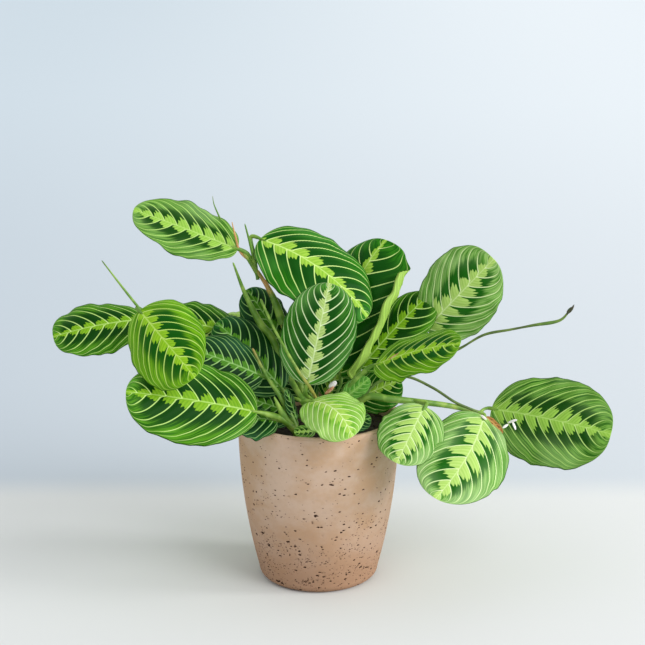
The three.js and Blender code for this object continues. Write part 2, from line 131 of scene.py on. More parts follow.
# The shoots, by the solid that each is in.
SHOOTS = {
    "shoot_upper_left": Shoot(
        root=(-10, -8),
        stem=[(-17, -5, 190), (-27, 0, 225), (-36, 6, 252), (-48, 12, 279), (-57, 15, 293)],
        stem_tints=(0.1, 0.1, 0.1, 0.1, 0.3, 1.0, 0.4),
        spikes=[
            Stalk([(-57, 15, 288), (-61, 10, 312), (-67, 5, 339)], [1.4, 1.3, 0.6], [0.1, 0, 0]),
            Stalk([(-57, 15, 290), (-63, 12, 302), (-69, 10, 311)], [1.8, 2.0, 1.4], [0.1, 0.1, 0.3]),
            Stalk([(-79, 12, 339), (-76, 10, 326), (-72, 10, 312), (-63, 13, 302)],
                  [0.4, 1.0, 1.1, 1.3], [1.0]),
            Stalk([(-89, 8, 342), (-93, 6, 352), (-95, 5, 358), (-96, 5, 365)],
                  [0.8, 0.7, 0.5, 0.2], [-0.3, 0.4]),
            Stalk([(-33, 3, 245), (-40, 7, 265), (-50, 12, 285)], [4.4, 3.4, 1.2], [0, 0, 0.9]),
        ],
        leaves=[
            Leaf("upper_left", (-57, 15, 292), (-74, 10, 314), (-168, 5, 352), (-10, 58),
                 66, arch=5, cup=10, fold=4, lean=-0.04, tone="grey", band=0.26),
            Leaf("top", (-56, 14, 284), (-54, 20, 321), (45, -15, 257), (10, 52),
                 86, arch=45, sway=4, tone="deep", band=0.2),
            Leaf("dark_behind", (-20, -3, 200), (-31, 17, 215), (-67, 32, 270), (20, 40),
                 50, tone="blue", pairs=7),
        ],
    ),
    "shoot_left": Shoot(
        root=(-24, 6),
        stem=[(-34, 8, 182), (-55, 12, 208), (-90, 4, 226), (-125, -18, 247), (-156, -38, 265)],
        spikes=[
            Stalk([(-155, -40, 264), (-173, -42, 289), (-193, -40, 316)],
                  [1.3, 1.2, 0.9, 0.5], [0, 0, 0, -0.6]),
        ],
        leaves=[
            Leaf("far_left", (-138, -26, 254), (-160, -6, 252), (-242, -20, 239), (-5, 48),
                 58, arch=25, tip_taper=0.36, tone="mid", pairs=8, band=0.22),
            Leaf("left_front", (-150, -35, 262), (-160, -45, 271), (-107, -110, 229), (-20, 40),
                 77, arch=35, cup=35, lean=0.08, tone="bright", band=0.2),
            Leaf("left_behind", (-55, 12, 208), (-64, 18, 226), (-142, 5, 250), (0, 50),
                 58, tone="mid", pairs=8),
        ],
    ),
    "shoot_low_left": Shoot(
        root=(-20, -42),
        stem=[(-22, -42, 162), (-34, -40, 187), (-48, -32, 207), (-60, -26, 230)],
        stem_radii=(3, 3, 2.4, 1.6, 1.0),
        stem_tints=(0, 0, 0, 0.1, 0.5),
        spikes=[
            Stalk([(-22, -43, 158), (-31, -49, 172), (-40, -52, 192)], [3, 3.2, 0.8], [0, 0, 0.1]),
        ],
        leaves=[
            Leaf("low_left", (-22, -44, 158), (-55, -62, 181), (-169, -95, 211), (-10, 38),
                 82, lean=-0.05, petiole=3, tone="mid", band=0.2),
            Leaf("rim_left", (-22, -44, 155), (-38, -50, 169), (-88, -68, 175), (-20, 60),
                 46, arch=25, tone="blue", pairs=7),
            Leaf("mid_left", (-42, -36, 199), (-50, -29, 204), (-112, -38, 232), (0, 38),
                 54, tone="blue", band=0.2),
            Leaf("folded", (-20, -42, 158), (-20, -38, 166), (-30, -40, 195), (60, 20),
                 18, arch=10, cup=20, tone="blue", pairs=6),
        ],
    ),
    "shoot_blue_left": Shoot(
        root=(-6, -22),
        spikes=[
            Stalk([(-12, -22, 174), (-33, 0, 206), (-44, 6, 232), (-53, 4, 244), (-67, 2, 273),
                   (-78, 0, 304)],
                  [2.4, 3, 3.8, 3.4, 2, 0.8], [0.1, 0, 0, 0, 0, 0.1]),
        ],
        leaves=[
            Leaf("blue_left", (-12, -22, 174), (-33, -18, 188), (-94, 0, 247), (20, 35),
                 64, arch=25, tone="blue", pairs=8),
            Leaf("dark_low", (-8, -22, 156), (-22, -20, 164), (-66, -24, 182), (0, 45),
                 42, tone="blue", pairs=7),
        ],
    ),
    "shoot_centre": Shoot(
        root=(4, -24),
        spikes=[
            Stalk([(3, -28, 168), (-3, -46, 190), (-8, -56, 203), (-17, -58, 217), (-30, -50, 237),
                   (-40, -28, 249), (-53, -6, 271)],
                  [1.6, 1.4, 1.2], [0.2, 0.4, 0.3, 0.1, 0, 0.1]),
        ],
        leaves=[
            Leaf("centre", (4, -26, 166), (-10, -46, 202), (10, -32, 293), (0, 10),
                 70, arch=25, tone="cream", band=0.2),
        ],
    ),
    "shoot_top_right": Shoot(
        root=(14, 6),
        leaves=[
            Leaf("curled", (15, 6, 168), (20, 12, 192), (63, 38, 316), (-30, 25),
                 80, arch=50, cup=40, sway=8, tip_taper=0.34, tone="deep",
                 band=0.2, roll=(-1, -0.05, 0.95, 8)),
            Leaf("right_behind", (18, 6, 170), (39, 6, 201), (104, 26, 267), (-10, 50),
                 58, tone="mid", pairs=8),
            Leaf("right_top", (18, 7, 166), (100, 22, 234), (158, 6, 303), (10, 30),
                 78, arch=25, lean=-0.06, tip_taper=0.38, tone="silver", pairs=8, band=0.34, point=4),
        ],
    ),
    "shoot_right": Shoot(
        root=(14, -28),
        leaves=[
            Leaf("right_mid", (16, -30, 174), (51, -45, 220), (124, -95, 255), (0, 58),
                 60, cup=20, petiole=2.2, tone="bright", band=0.19),
            Leaf("young", (15, -29, 166), (24, -36, 186), (46, -34, 204), (20, 20),
                 20, arch=30, cup=40, tone="young", pairs=6),
        ],
    ),
    "shoot_front": Shoot(
        root=(4, -48),
        leaves=[
            Leaf("front_small", (3, -49, 160), (-8, -56, 189), (30, -103, 172), (10, 52),
                 60, arch=60, sway=5, tone="pale", band=0.3),
            Leaf("rim_right", (5, -48, 156), (19, -43, 162), (48, -42, 168), (20, 55),
                 25, tone="blue", pairs=6),
            Leaf("rim_point", (3, -49, 154), (-3, -53, 160), (-22, -63, 162), (0, 30),
                 13, arch=10, cup=20, tone="grey", pairs=5),
        ],
    ),
    "shoot_runner": Shoot(
        root=(30, -22),
        stem=[(32, -24, 168), (44, -28, 184), (66, -28, 182), (95, -22, 177), (122, -15, 171),
              (152, -10, 162)],
        stem_radii=(2.4, 3.2, 3.6, 3, 2.6, 2),
        stem_tints=(0, 0, 0, 0, 0.1, 0.5),
        spikes=[
            Stalk([(33, -24, 172), (55, -12, 193), (80, -10, 198), (105, -12, 188), (127, -14, 174),
                   (148, -12, 164)],
                  [1.4, 1.3, 1.3], [-0.3, -0.8, -0.9, -0.7]),
        ],
        leaves=[
            Leaf("low_right", (84, -24, 179), (97, -34, 177), (70, -86, 141), (0, 30),
                 62, arch=30, tone="silver", pairs=8, band=0.42),
            Leaf("low_front", (145, -11, 164), (153, -15, 161), (104, -106, 115), (20, 45),
                 82, arch=30, sway=5, tone="silver", pairs=8, band=0.34),
            Leaf("far_right", (150, -10, 163), (161, -5, 165), (262, -38, 153), (10, 32),
                 91, arch=25, cup=20, lean=-0.01, tip_taper=0.34, tone="grey", pairs=10, band=0.24, point=6),
            Leaf("dry_bract", (152, -10, 162), (155, -14, 160), (170, -24, 147), (20, 40),
                 10, arch=30, cup=30, tone="dry", pairs=5),
        ],
    ),
    "flower_stalk": Shoot(
        root=(26, 2),
        spikes=[
            Stalk([(30, 2, 168), (60, 0, 192), (100, -14, 213), (129, -20, 228), (151, -20, 241),
                   (175, -20, 246), (195, -20, 250), (220, -20, 255), (226, -20, 261), (229, -20, 267)],
                  [1.4, 1.2, 1.2, 1.2, 1.7, 1.0, 1.3, 1.0, 1.7, 0.7],
                  [-0.6, -0.6, -0.8, -0.7, -0.3, -1, -0.8, -1, -0.4, -1]),
        ],
        leaves=[
            Leaf("dark_right", (27, 2, 160), (33, 4, 170), (77, 8, 189), (20, 45),
                 46, tone="deep", pairs=7),
        ],
    ),
    "shoot_back_left": Shoot(
        root=(-26, 24),
        leaves=[
            Leaf("back_left_high", (-27, 26, 170), (-50, 52, 234), (-106, 118, 218), (-140, 45),
                 76, arch=30, tone="deep"),
            Leaf("back_left_middle", (-27, 26, 168), (-66, 46, 204), (-150, 78, 194), (-120, 40),
                 70, arch=30, tone="mid"),
            Leaf("back_left_low", (-27, 25, 162), (-74, 50, 172), (-152, 104, 146), (-130, 45),
                 78, arch=30, tone="bright"),
        ],
    ),
    "shoot_back": Shoot(
        root=(-2, 34),
        leaves=[
            Leaf("back_high", (-2, 36, 178), (12, 58, 232), (14, 132, 238), (180, 40),
                 74, arch=35, tone="mid"),
            Leaf("back_middle", (-2, 36, 170), (8, 68, 194), (24, 160, 178), (172, 45),
                 78, arch=35, tone="deep"),
            Leaf("back_inner", (-2, 35, 162), (-26, 68, 174), (-52, 146, 142), (-160, 45),
                 72, arch=35, tone="grey"),
            Leaf("inner_left", (-4, 33, 160), (-6, 24, 167), (-32, 17, 206), (-5, 25),
                 42, tone="blue", pairs=7),
            Leaf("inner_right", (0, 33, 160), (6, 25, 167), (26, 24, 205), (5, 25),
                 36, tone="deep", pairs=7),
        ],
    ),
    "shoot_back_right": Shoot(
        root=(26, 26),
        leaves=[
            Leaf("back_right_high", (27, 28, 174), (54, 54, 226), (112, 112, 222), (140, 42),
                 76, arch=30, tone="grey"),
            Leaf("back_right_middle", (27, 28, 170), (58, 46, 194), (128, 84, 200), (120, 45),
                 62, arch=25, tone="mid"),
            Leaf("back_right_low", (27, 27, 164), (38, 68, 168), (56, 144, 140), (165, 45),
                 66, arch=35, tone="bright"),
        ],
    ),
}


def loose_blade(name, base, tip, face, width, **form):
    """A small blade without a petiole."""
    return Leaf(name, base, base, tip, face, width, **form)


# Bits that lie on the plant: petals, most of them by the runner's end, dry bits caught among the
# leaves, and the buds at the flower stalk's end.
PETALS = [
    loose_blade("petal_a", (150, -18, 163), (155, -22, 160), (0, 50), 3, arch=40, cup=50),
    loose_blade("petal_b", (174, -31, 160), (182, -34, 164), (-10, 50), 3, arch=50, cup=50),
    loose_blade("petal_c", (178, -31, 161), (181, -33, 154), (30, 50), 2.8, arch=40, cup=40),
    loose_blade("petal_d", (174, -32, 159), (169, -34, 156), (20, 50), 2.6, arch=40, cup=40),
    loose_blade("petal_e", (10, -38, 196), (16, -40, 203), (10, 20), 6, arch=40, cup=60),
]
DRY_BITS = [
    loose_blade("dry_bit_a", (0, -42, 186), (9, -46, 183), (10, 50), 5, arch=50, cup=60),
    loose_blade("dry_bit_b", (6, -38, 190), (14, -40, 198), (30, 20), 4, arch=40, cup=60),
    loose_blade("dry_bit_c", (58, -52, 222), (74, -58, 236), (0, 60), 2.4, arch=30, cup=60),
]
BUDS = [
    Stalk([(226, -20, 261), (230, -21, 266), (232, -21, 270)], [0.8, 1.5, 1.2, 0.4]),
    Stalk([(226, -20, 260), (227, -22, 265), (229, -23, 268)], [0.6, 1.2, 0.9, 0.4]),
]


@dataclass
class Tone:
    """Colours of a leaf's upper face. Its dark patches are at full strength from patch_start of its
    length and end at patch_end of its half width, patch_fade more or less. painted_sheen is painted
    sheen: a pale haze that lies on it in clouds and stands for light its surface reflects."""

    lobe: tuple
    lobe_shade: tuple
    vein: tuple
    dark: tuple
    margin: tuple
    margin_shade: tuple
    edge: tuple
    painted_sheen: tuple
    patch_start: float
    patch_end: float
    patch_fade: float
    roughness: float


TONES = {
    "bright": Tone(
        lobe=rgb(150, 196, 40), lobe_shade=rgb(108, 164, 18), vein=rgb(192, 224, 112), dark=rgb(10, 80, 2),
        margin=rgb(112, 168, 14), margin_shade=rgb(46, 108, 4), edge=rgb(54, 106, 8),
        painted_sheen=rgb(122, 178, 44), patch_start=0.3, patch_end=0.54, patch_fade=0.10, roughness=0.44,
    ),
    "pale": Tone(
        lobe=rgb(170, 206, 92), lobe_shade=rgb(136, 186, 58), vein=rgb(226, 240, 176), dark=rgb(104, 164, 44),
        margin=rgb(140, 188, 66), margin_shade=rgb(100, 160, 36), edge=rgb(92, 146, 36),
        painted_sheen=rgb(186, 214, 140), patch_start=0.2, patch_end=0.4, patch_fade=0.2, roughness=0.4,
    ),
    "silver": Tone(
        lobe=rgb(180, 210, 116), lobe_shade=rgb(144, 186, 78), vein=rgb(214, 234, 168), dark=rgb(22, 90, 8),
        margin=rgb(138, 182, 94), margin_shade=rgb(78, 136, 40), edge=rgb(72, 124, 36),
        painted_sheen=rgb(176, 204, 146), patch_start=0.15, patch_end=0.5, patch_fade=0.08, roughness=0.38,
    ),
    "young": Tone(
        lobe=rgb(120, 172, 72), lobe_shade=rgb(96, 156, 52), vein=rgb(150, 196, 104), dark=rgb(74, 136, 44),
        margin=rgb(96, 156, 60), margin_shade=rgb(70, 134, 42), edge=rgb(50, 100, 30),
        painted_sheen=rgb(150, 190, 120), patch_start=0.2, patch_end=0.4, patch_fade=0.3, roughness=0.22,
    ),
    "mid": Tone(
        lobe=rgb(132, 176, 36), lobe_shade=rgb(88, 144, 12), vein=rgb(190, 224, 126), dark=rgb(10, 62, 2),
        margin=rgb(82, 142, 24), margin_shade=rgb(32, 92, 4), edge=rgb(34, 84, 8),
        painted_sheen=rgb(104, 156, 74), patch_start=0.15, patch_end=0.62, patch_fade=0.16, roughness=0.46,
    ),
    "deep": Tone(
        lobe=rgb(160, 198, 72), lobe_shade=rgb(112, 168, 34), vein=rgb(206, 234, 140), dark=rgb(10, 72, 4),
        margin=rgb(48, 124, 14), margin_shade=rgb(20, 90, 6), edge=rgb(26, 84, 10),
        painted_sheen=rgb(74, 138, 56), patch_start=0.1, patch_end=0.62, patch_fade=0.30, roughness=0.4,
    ),
    "cream": Tone(
        lobe=rgb(184, 206, 128), lobe_shade=rgb(138, 174, 76), vein=rgb(214, 232, 178), dark=rgb(12, 70, 6),
        margin=rgb(78, 142, 44), margin_shade=rgb(26, 88, 10), edge=rgb(34, 84, 14),
        painted_sheen=rgb(110, 160, 88), patch_start=0.1, patch_end=0.66, patch_fade=0.26, roughness=0.36,
    ),
    "grey": Tone(
        lobe=rgb(150, 190, 80), lobe_shade=rgb(108, 158, 44), vein=rgb(174, 208, 114), dark=rgb(16, 64, 2),
        margin=rgb(106, 154, 58), margin_shade=rgb(42, 96, 16), edge=rgb(56, 100, 28),
        painted_sheen=rgb(142, 178, 112), patch_start=0.2, patch_end=0.5, patch_fade=0.09, roughness=0.4,
    ),
    "blue": Tone(
        lobe=rgb(84, 140, 32), lobe_shade=rgb(48, 104, 16), vein=rgb(156, 200, 118), dark=rgb(8, 50, 12),
        margin=rgb(30, 90, 28), margin_shade=rgb(12, 60, 18), edge=rgb(12, 42, 18),
        painted_sheen=rgb(62, 116, 84), patch_start=0.1, patch_end=0.8, patch_fade=0.3, roughness=0.4,
    ),
    "dry": Tone(
        lobe=rgb(186, 140, 72), lobe_shade=rgb(150, 104, 48), vein=rgb(196, 156, 96), dark=rgb(120, 76, 34),
        margin=rgb(172, 120, 60), margin_shade=rgb(132, 88, 40), edge=rgb(110, 68, 32),
        painted_sheen=rgb(190, 150, 96), patch_start=0.1, patch_end=0.5, patch_fade=0.3, roughness=0.6,
    ),
}


# ---------------------------------------------------------------- settings


# The fitted camera's focal length and the picture's width in pixels, and the sensor's width in mm.
FOCAL_PIXELS = 1900
PICTURE_PIXELS = 645
SENSOR = 36


def metres(name, description, default):
    return FloatProperty(
        name=name, description=description, default=default, unit="LENGTH", subtype="DISTANCE"
    )


def millimetres(name, description, default):
    return metres(name, description, default * MM)


def degrees(name, description, default):
    return FloatProperty(
        name=name, description=description, default=math.radians(default), unit="ROTATION", subtype="ANGLE"
    )


def brightness(name, default):
    return FloatProperty(name=name, description="Its strength", default=default, min=0)


def light_direction(name, default):
    return FloatVectorProperty(name=name, description="Where it comes from", default=default, subtype="XYZ")


def whole_number(name, description, default, least):
    return IntProperty(name=name, description=description, default=default, min=least)


def colour(name, description, default):
    return FloatVectorProperty(
        name=name, description=description, default=default, subtype="COLOR", min=0, max=1
    )


class PotSettings(bpy.types.PropertyGroup):
    height: metres("Height", "From the flat base to the rim", POT_HIGH.z)
    rim_radius: metres("Rim radius", "Outer radius at the rim", POT_HIGH.x)
    foot_radius: millimetres("Foot radius", "Where the side, carried on, would meet the ground", 54)
    belly: millimetres("Belly", "How far the side swells out of a straight taper", 5.8)
    foot_round: millimetres("Foot rounding", "Radius between the base and the side", 9)
    wall: millimetres("Wall", "Thickness of the side", 5)
    floor: millimetres("Floor", "Thickness of the base", 8)
    rim_round: millimetres("Rim rounding", "Radius of the rim's edges", 1.6)
    pit_depth: millimetres("Pit depth", "How deep the largest pits are", 0.7)
    clay: colour("Clay", "Colour of the pot's body", rgb(199, 173, 152))
    clay_warm: colour("Warm clay", "Colour of its warmer clouds", rgb(188, 155, 125))
    # The foot colour is painted shade: it darkens the pot towards its base, where less light reaches it.
    foot: colour("Foot", "Darker clay towards the foot", rgb(160, 124, 98))
    pit: colour("Pits", "Colour inside the pits", rgb(46, 24, 14))


class SoilSettings(bpy.types.PropertyGroup):
    crown: millimetres("Crown", "How much higher the middle is than the edge", 4)
    gap: millimetres("Gap", "Between the soil and the pot's wall", 0.8)
    crumbs: whole_number("Crumbs", "Loose crumbs on the surface", 700, 0)
    crumb_size: millimetres("Crumb size", "Radius of the largest crumbs", 2.2)
    seed: whole_number("Seed", "Start of the crumbs' random places", 4, 0)
    dark: colour("Dark", "Damp soil", rgb(34, 24, 18))
    light: colour("Light", "Fibres and dry crumbs", rgb(96, 72, 52))


class BladeSettings(bpy.types.PropertyGroup):
    thickness: millimetres("Thickness", "Of the blade between its veins", 0.6)
    quilting: millimetres("Quilting", "How far the blade swells between its side veins", 1.2)
    groove: millimetres("Groove", "Depth of the midrib's groove above", 0.5)
    rib: millimetres("Rib", "Height of the midrib below", 1.1)
    vein_width: millimetres("Vein width", "Of a side vein near the midrib", 0.95)
    rows: whole_number("Rows", "Steps along a blade", 84, 8)
    columns: whole_number("Columns", "Steps across a blade", 48, 8)
    underside: colour("Underside", "Colour of the lower face", rgb(150, 188, 74))


class StalkSettings(bpy.types.PropertyGroup):
    sides: whole_number("Sides", "Steps round a stalk", 14, 3)
    step: millimetres("Step", "Distance between a stalk's rings", 1.5)
    green: colour("Green", "Fresh stalk", rgb(88, 132, 34))
    pale: colour("Pale", "Paler parts of it", rgb(140, 174, 70))
    dry: colour("Dry", "Old sheath", rgb(194, 146, 88))
    brown: colour("Dark", "Dark stalks and specks", rgb(52, 50, 16))


class StageSettings(bpy.types.PropertyGroup):
    focal_length: FloatProperty(
        name="Focal length", description="Of the camera, in mm",
        default=FOCAL_PIXELS / PICTURE_PIXELS * SENSOR,
    )
    distance: metres("Distance", "From the camera to the point it looks at", 1.75)
    pitch: degrees("Pitch", "How far the camera looks down", 16)
    aim: FloatVectorProperty(
        name="Aim", description="The point the camera looks at",
        default=(0.0037, 0, 0.247), unit="LENGTH", subtype="XYZ",
    )
    front_light: brightness("Front light", 1.35)
    front_from: light_direction("Front light from", (0.9, -0.8, 0.8))
    front_softness: degrees("Front softness", "How wide the front light looks", 34)
    side_light: brightness("Side light", 1.5)
    side_from: light_direction("Side light from", (1.0, -0.1, 0.3))
    side_softness: degrees("Side softness", "How wide the side light looks", 14)
    ambient: brightness("Light from all round", 0.85)
    ambient_colour: colour("Colour from all round", "Colour of that light", (0.94, 0.965, 0.98))
    table: colour("Table", "Floor near the pot", rgb(209, 211, 210))
    # Beyond the table's edge the floor is painted darker near it as shade and lighter far off as light.
    behind: colour("Behind", "Floor just behind the table's edge", rgb(180, 190, 199))
    far_floor_painted_light: colour("Far floor", "Floor far behind the pot", rgb(194, 205, 213))


# ---------------------------------------------------------------- node trees


class Wire:
    """An output socket that arithmetic can be done with."""

    def __init__(self, graph, socket):
        self.graph = graph
        self.socket = socket

    def maths(self, operation, *values):
        return self.graph.node("ShaderNodeMath", {"operation": operation}, dict(enumerate(values))).out(0)

    def __add__(self, other):
        return self.maths("ADD", self, other)

    __radd__ = __add__

    def __mul__(self, other):
        return self.maths("MULTIPLY", self, other)

    __rmul__ = __mul__

    def __sub__(self, other):
        return self.maths("SUBTRACT", self, other)

    def __rsub__(self, other):
        return self.maths("SUBTRACT", other, self)

    def __truediv__(self, other):
        return self.maths("DIVIDE", self, other)

    def __rtruediv__(self, other):
        return self.maths("DIVIDE", other, self)

    def __abs__(self):
        return self.maths("ABSOLUTE", self)

    def part(self):
        return self.maths("FRACT", self)

    def whole(self):
        return self.maths("FLOOR", self)

    def sine(self):
        return self.maths("SINE", self)

    def sign(self):
        return self.maths("SIGN", self)

    def least(self, other):
        return self.maths("MINIMUM", self, other)

    def most(self, other):
        return self.maths("MAXIMUM", self, other)

    def above(self, limit):
        return self.maths("GREATER_THAN", self, limit)

    def step(self, low, high):
        """0 up to low and 1 from high on, smooth between, whichever of the two is larger."""
        made = self.graph.node(
            "ShaderNodeMapRange",
            {"interpolation_type": "SMOOTHSTEP"},
            {"Value": self, "From Min": low, "From Max": high},
        )
        return made.out("Result")


class Made:
    """A node, with its outputs as wires."""

    def __init__(self, graph, node):
        self.graph = graph
        self.node = node

    def out(self, name):
        return Wire(self.graph, self.node.outputs[name])


class Graph:
    """A node tree under construction, of a material or of geometry nodes."""

    def __init__(self, tree):
        self.tree = tree
        self.tree.nodes.clear()

    def node(self, kind, settings, sockets):
        made = self.tree.nodes.new(kind)
        for key, value in settings.items():
            if key == "points":
                self.set_points(made.mapping, value)
            else:
                setattr(made, key, value)
        for key, value in sockets.items():
            self.fill(made.inputs[key], value)
        return Made(self, made)

    def fill(self, socket, value):
        """Links a socket to a wire, or to each of a list of wires, or gives it a plain value."""
        if isinstance(value, list):
            for wire in value:
                self.fill(socket, wire)
        elif isinstance(value, Wire):
            self.tree.links.new(value.socket, socket)
        elif socket.type == "RGBA":
            socket.default_value = (*value, 1)
        else:
            socket.default_value = value

    @staticmethod
    def set_points(mapping, points):
        curve = mapping.curves[0]
        while len(curve.points) < len(points):
            curve.points.new(0.5, 0.5)
        for point, (x, y) in zip(curve.points, points):
            point.location = (x, y)
            point.handle_type = "VECTOR"
        mapping.update()

    def blend(self, first, second, share):
        """Colour first where share is 0 and second where it is 1."""
        settings = {"data_type": "RGBA", "clamp_factor": True}
        return self.node("ShaderNodeMix", settings, {0: share, 6: first, 7: second}).out(2)

    def vector(self, x, y, z):
        return self.node("ShaderNodeCombineXYZ", {}, {"X": x, "Y": y, "Z": z}).out("Vector")

    def separate(self, vector):
        made = self.node("ShaderNodeSeparateXYZ", {}, {"Vector": vector})
        return made.out("X"), made.out("Y"), made.out("Z")

    def vector_maths(self, operation, sockets):
        return self.node("ShaderNodeVectorMath", {"operation": operation}, sockets).out("Vector")

    def stretch(self, vector, by):
        return self.vector_maths("MULTIPLY", {0: vector, 1: by})

    def shift(self, vector, by):
        return self.vector_maths("ADD", {0: vector, 1: by})

    def scale(self, vector, by):
        return self.vector_maths("SCALE", {0: vector, "Scale": by})

    def noise(self, vector, scale, detail, roughness=0.5):
        sockets = {"Vector": vector, "Scale": scale, "Detail": detail, "Roughness": roughness}
        return self.node("ShaderNodeTexNoise", {}, sockets).out(0)

    def pattern(self, x, y, z, detail, roughness=0.5):
        """Noise over three numbers, a new value about each time one of them grows by 1."""
        return self.noise(self.vector(x, y, z), 1.0, detail, roughness)

    def chance(self, x, y, z):
        """A random number from 0 to 1 for each set of three numbers."""
        sockets = {"Vector": self.vector(x, y, z)}
        return self.node("ShaderNodeTexWhiteNoise", {"noise_dimensions": "3D"}, sockets).out("Value")


class Finish(Graph):
    """A material under construction."""

    def __init__(self, name):
        self.material = bpy.data.materials.new(name)
        self.material.use_nodes = True
        super().__init__(self.material.node_tree)

    def place(self):
        return self.node("ShaderNodeTexCoord", {}, {}).out("Object")

    def uv(self, name):
        return self.separate(self.node("ShaderNodeUVMap", {"uv_map": name}, {}).out("UV"))[:2]

    def attribute(self, name):
        return self.node("ShaderNodeAttribute", {"attribute_name": name}, {}).out("Fac")

    def bump(self, height, strength, distance):
        sockets = {"Height": height, "Strength": strength, "Distance": distance}
        return self.node("ShaderNodeBump", {}, sockets).out("Normal")

    def surface(self, base, roughness, normal=None, shine=0.5):
        sockets = {"Base Color": base, "Roughness": roughness, "Specular IOR Level": shine}
        if normal:
            sockets["Normal"] = normal
        shader = self.node("ShaderNodeBsdfPrincipled", {}, sockets)
        self.node("ShaderNodeOutputMaterial", {}, {"Surface": shader.out("BSDF")})
        return self.material


class Growth(Graph):
    """Geometry nodes under construction. inputs gives each named input's socket type."""

    def __init__(self, name, inputs):
        super().__init__(bpy.data.node_groups.new(name, "GeometryNodeTree"))
        for title, kind in {"Mesh": "Geometry", **inputs}.items():
            self.tree.interface.new_socket(title, in_out="INPUT", socket_type=f"NodeSocket{kind}")
        self.tree.interface.new_socket("Result", in_out="OUTPUT", socket_type="NodeSocketGeometry")
        self.group_input = self.node("NodeGroupInput", {}, {})

    def given(self, title):
        return self.group_input.out(title)

    def place(self):
        return self.node("GeometryNodeInputPosition", {}, {}).out("Position")

    def attribute(self, name):
        made = self.node("GeometryNodeInputNamedAttribute", {"data_type": "FLOAT"}, {"Name": name})
        return made.out("Attribute")

    def moved(self, geometry, offset):
        sockets = {"Geometry": geometry, "Offset": offset}
        return self.node("GeometryNodeSetPosition", {}, sockets).out("Geometry")

    def smooth(self, geometry):
        return self.node("GeometryNodeSetShadeSmooth", {}, {"Geometry": geometry}).out("Geometry")

    def chance_vector(self, low, high, seed):
        sockets = {"Min": low, "Max": high, "Seed": seed}
        return self.node("FunctionNodeRandomValue", {"data_type": "FLOAT_VECTOR"}, sockets).out("Value")

    def chance_number(self, low, high, seed):
        sockets = {2: low, 3: high, "Seed": seed}
        return self.node("FunctionNodeRandomValue", {"data_type": "FLOAT"}, sockets).out(1)

    def finish(self, geometry, material):
        """Joined into plain mesh, in its material."""
        joined = self.node("GeometryNodeRealizeInstances", {}, {"Geometry": geometry}).out("Geometry")
        coat = self.node("GeometryNodeSetMaterial", {}, {"Geometry": joined, "Material": material})
        self.node("NodeGroupOutput", {}, {"Result": coat.out("Geometry")})
        return self.tree


# ---------------------------------------------------------------- finishes

# How far a lobe of the pale band reaches, from the vein on its base side to the one on its tip side.
LOBE_OUTLINE = [
    (0.0, 0.76), (0.2, 1.04), (0.28, 0.86), (0.48, 1.0), (0.56, 0.66), (0.76, 0.7), (0.86, 0.24), (1.0, 0.06),
]
# How far teeth are shifted along the midrib, as a share of the distance between veins, a lobe's least
# length and how much longer it may be, and how deep it is bitten, as shares of the band.
TEETH_SHIFT = 0.14
LEAST_LOBE = 0.72
LOBE_SPREAD = 0.6
BITE_DEPTH = 0.7
# How much dark patches differ in where they end, and how deep their ends are combed, as shares of the
# half width, and how much they differ in where they start, as a share of the length.
PATCH_SPREAD = 0.14
COMB_DEPTH = 0.34
START_SPREAD = 0.1
# How strongly dark lines, the painted sheen and edge colour show.
LINES_SHOW = 0.5
SHEEN_SHOWS = 0.32
EDGE_SHOWS = 0.8
# From where to where things grow or fade along a leaf, as shares of its length from the base.
BAND_GROWS = (-0.05, 0.12)
BAND_SHRINKS = (0.68, 0.97)
PATCHES_FADE = (0.86, 0.97)
VEINS_THIN = (0.9, 0.97)
# The same across a leaf, as shares of its half width from the midrib.
LINES_GROW = (0.3, 0.7)
SHEEN_GROWS = (0.15, 0.75)
VEINS_FADE = (0.8, 1.05)
EDGE_STARTS = (0.965, 0.995)
# The soft edge of a side vein and of the midrib, in mm out from it and in from it.
VEIN_EDGE = (-0.35, 0.3)
MIDRIB_EDGE = (-0.4, 0.4)
# Where side veins are nearer each other than this, in mm, they are thinner.
FULL_VEIN_GAP = 7.0
# Radians of the ribs' wave across a lobe, which make four ribs.
RIBS_TURN = 25.0
LEAF_RELIEF = 0.6 * MM


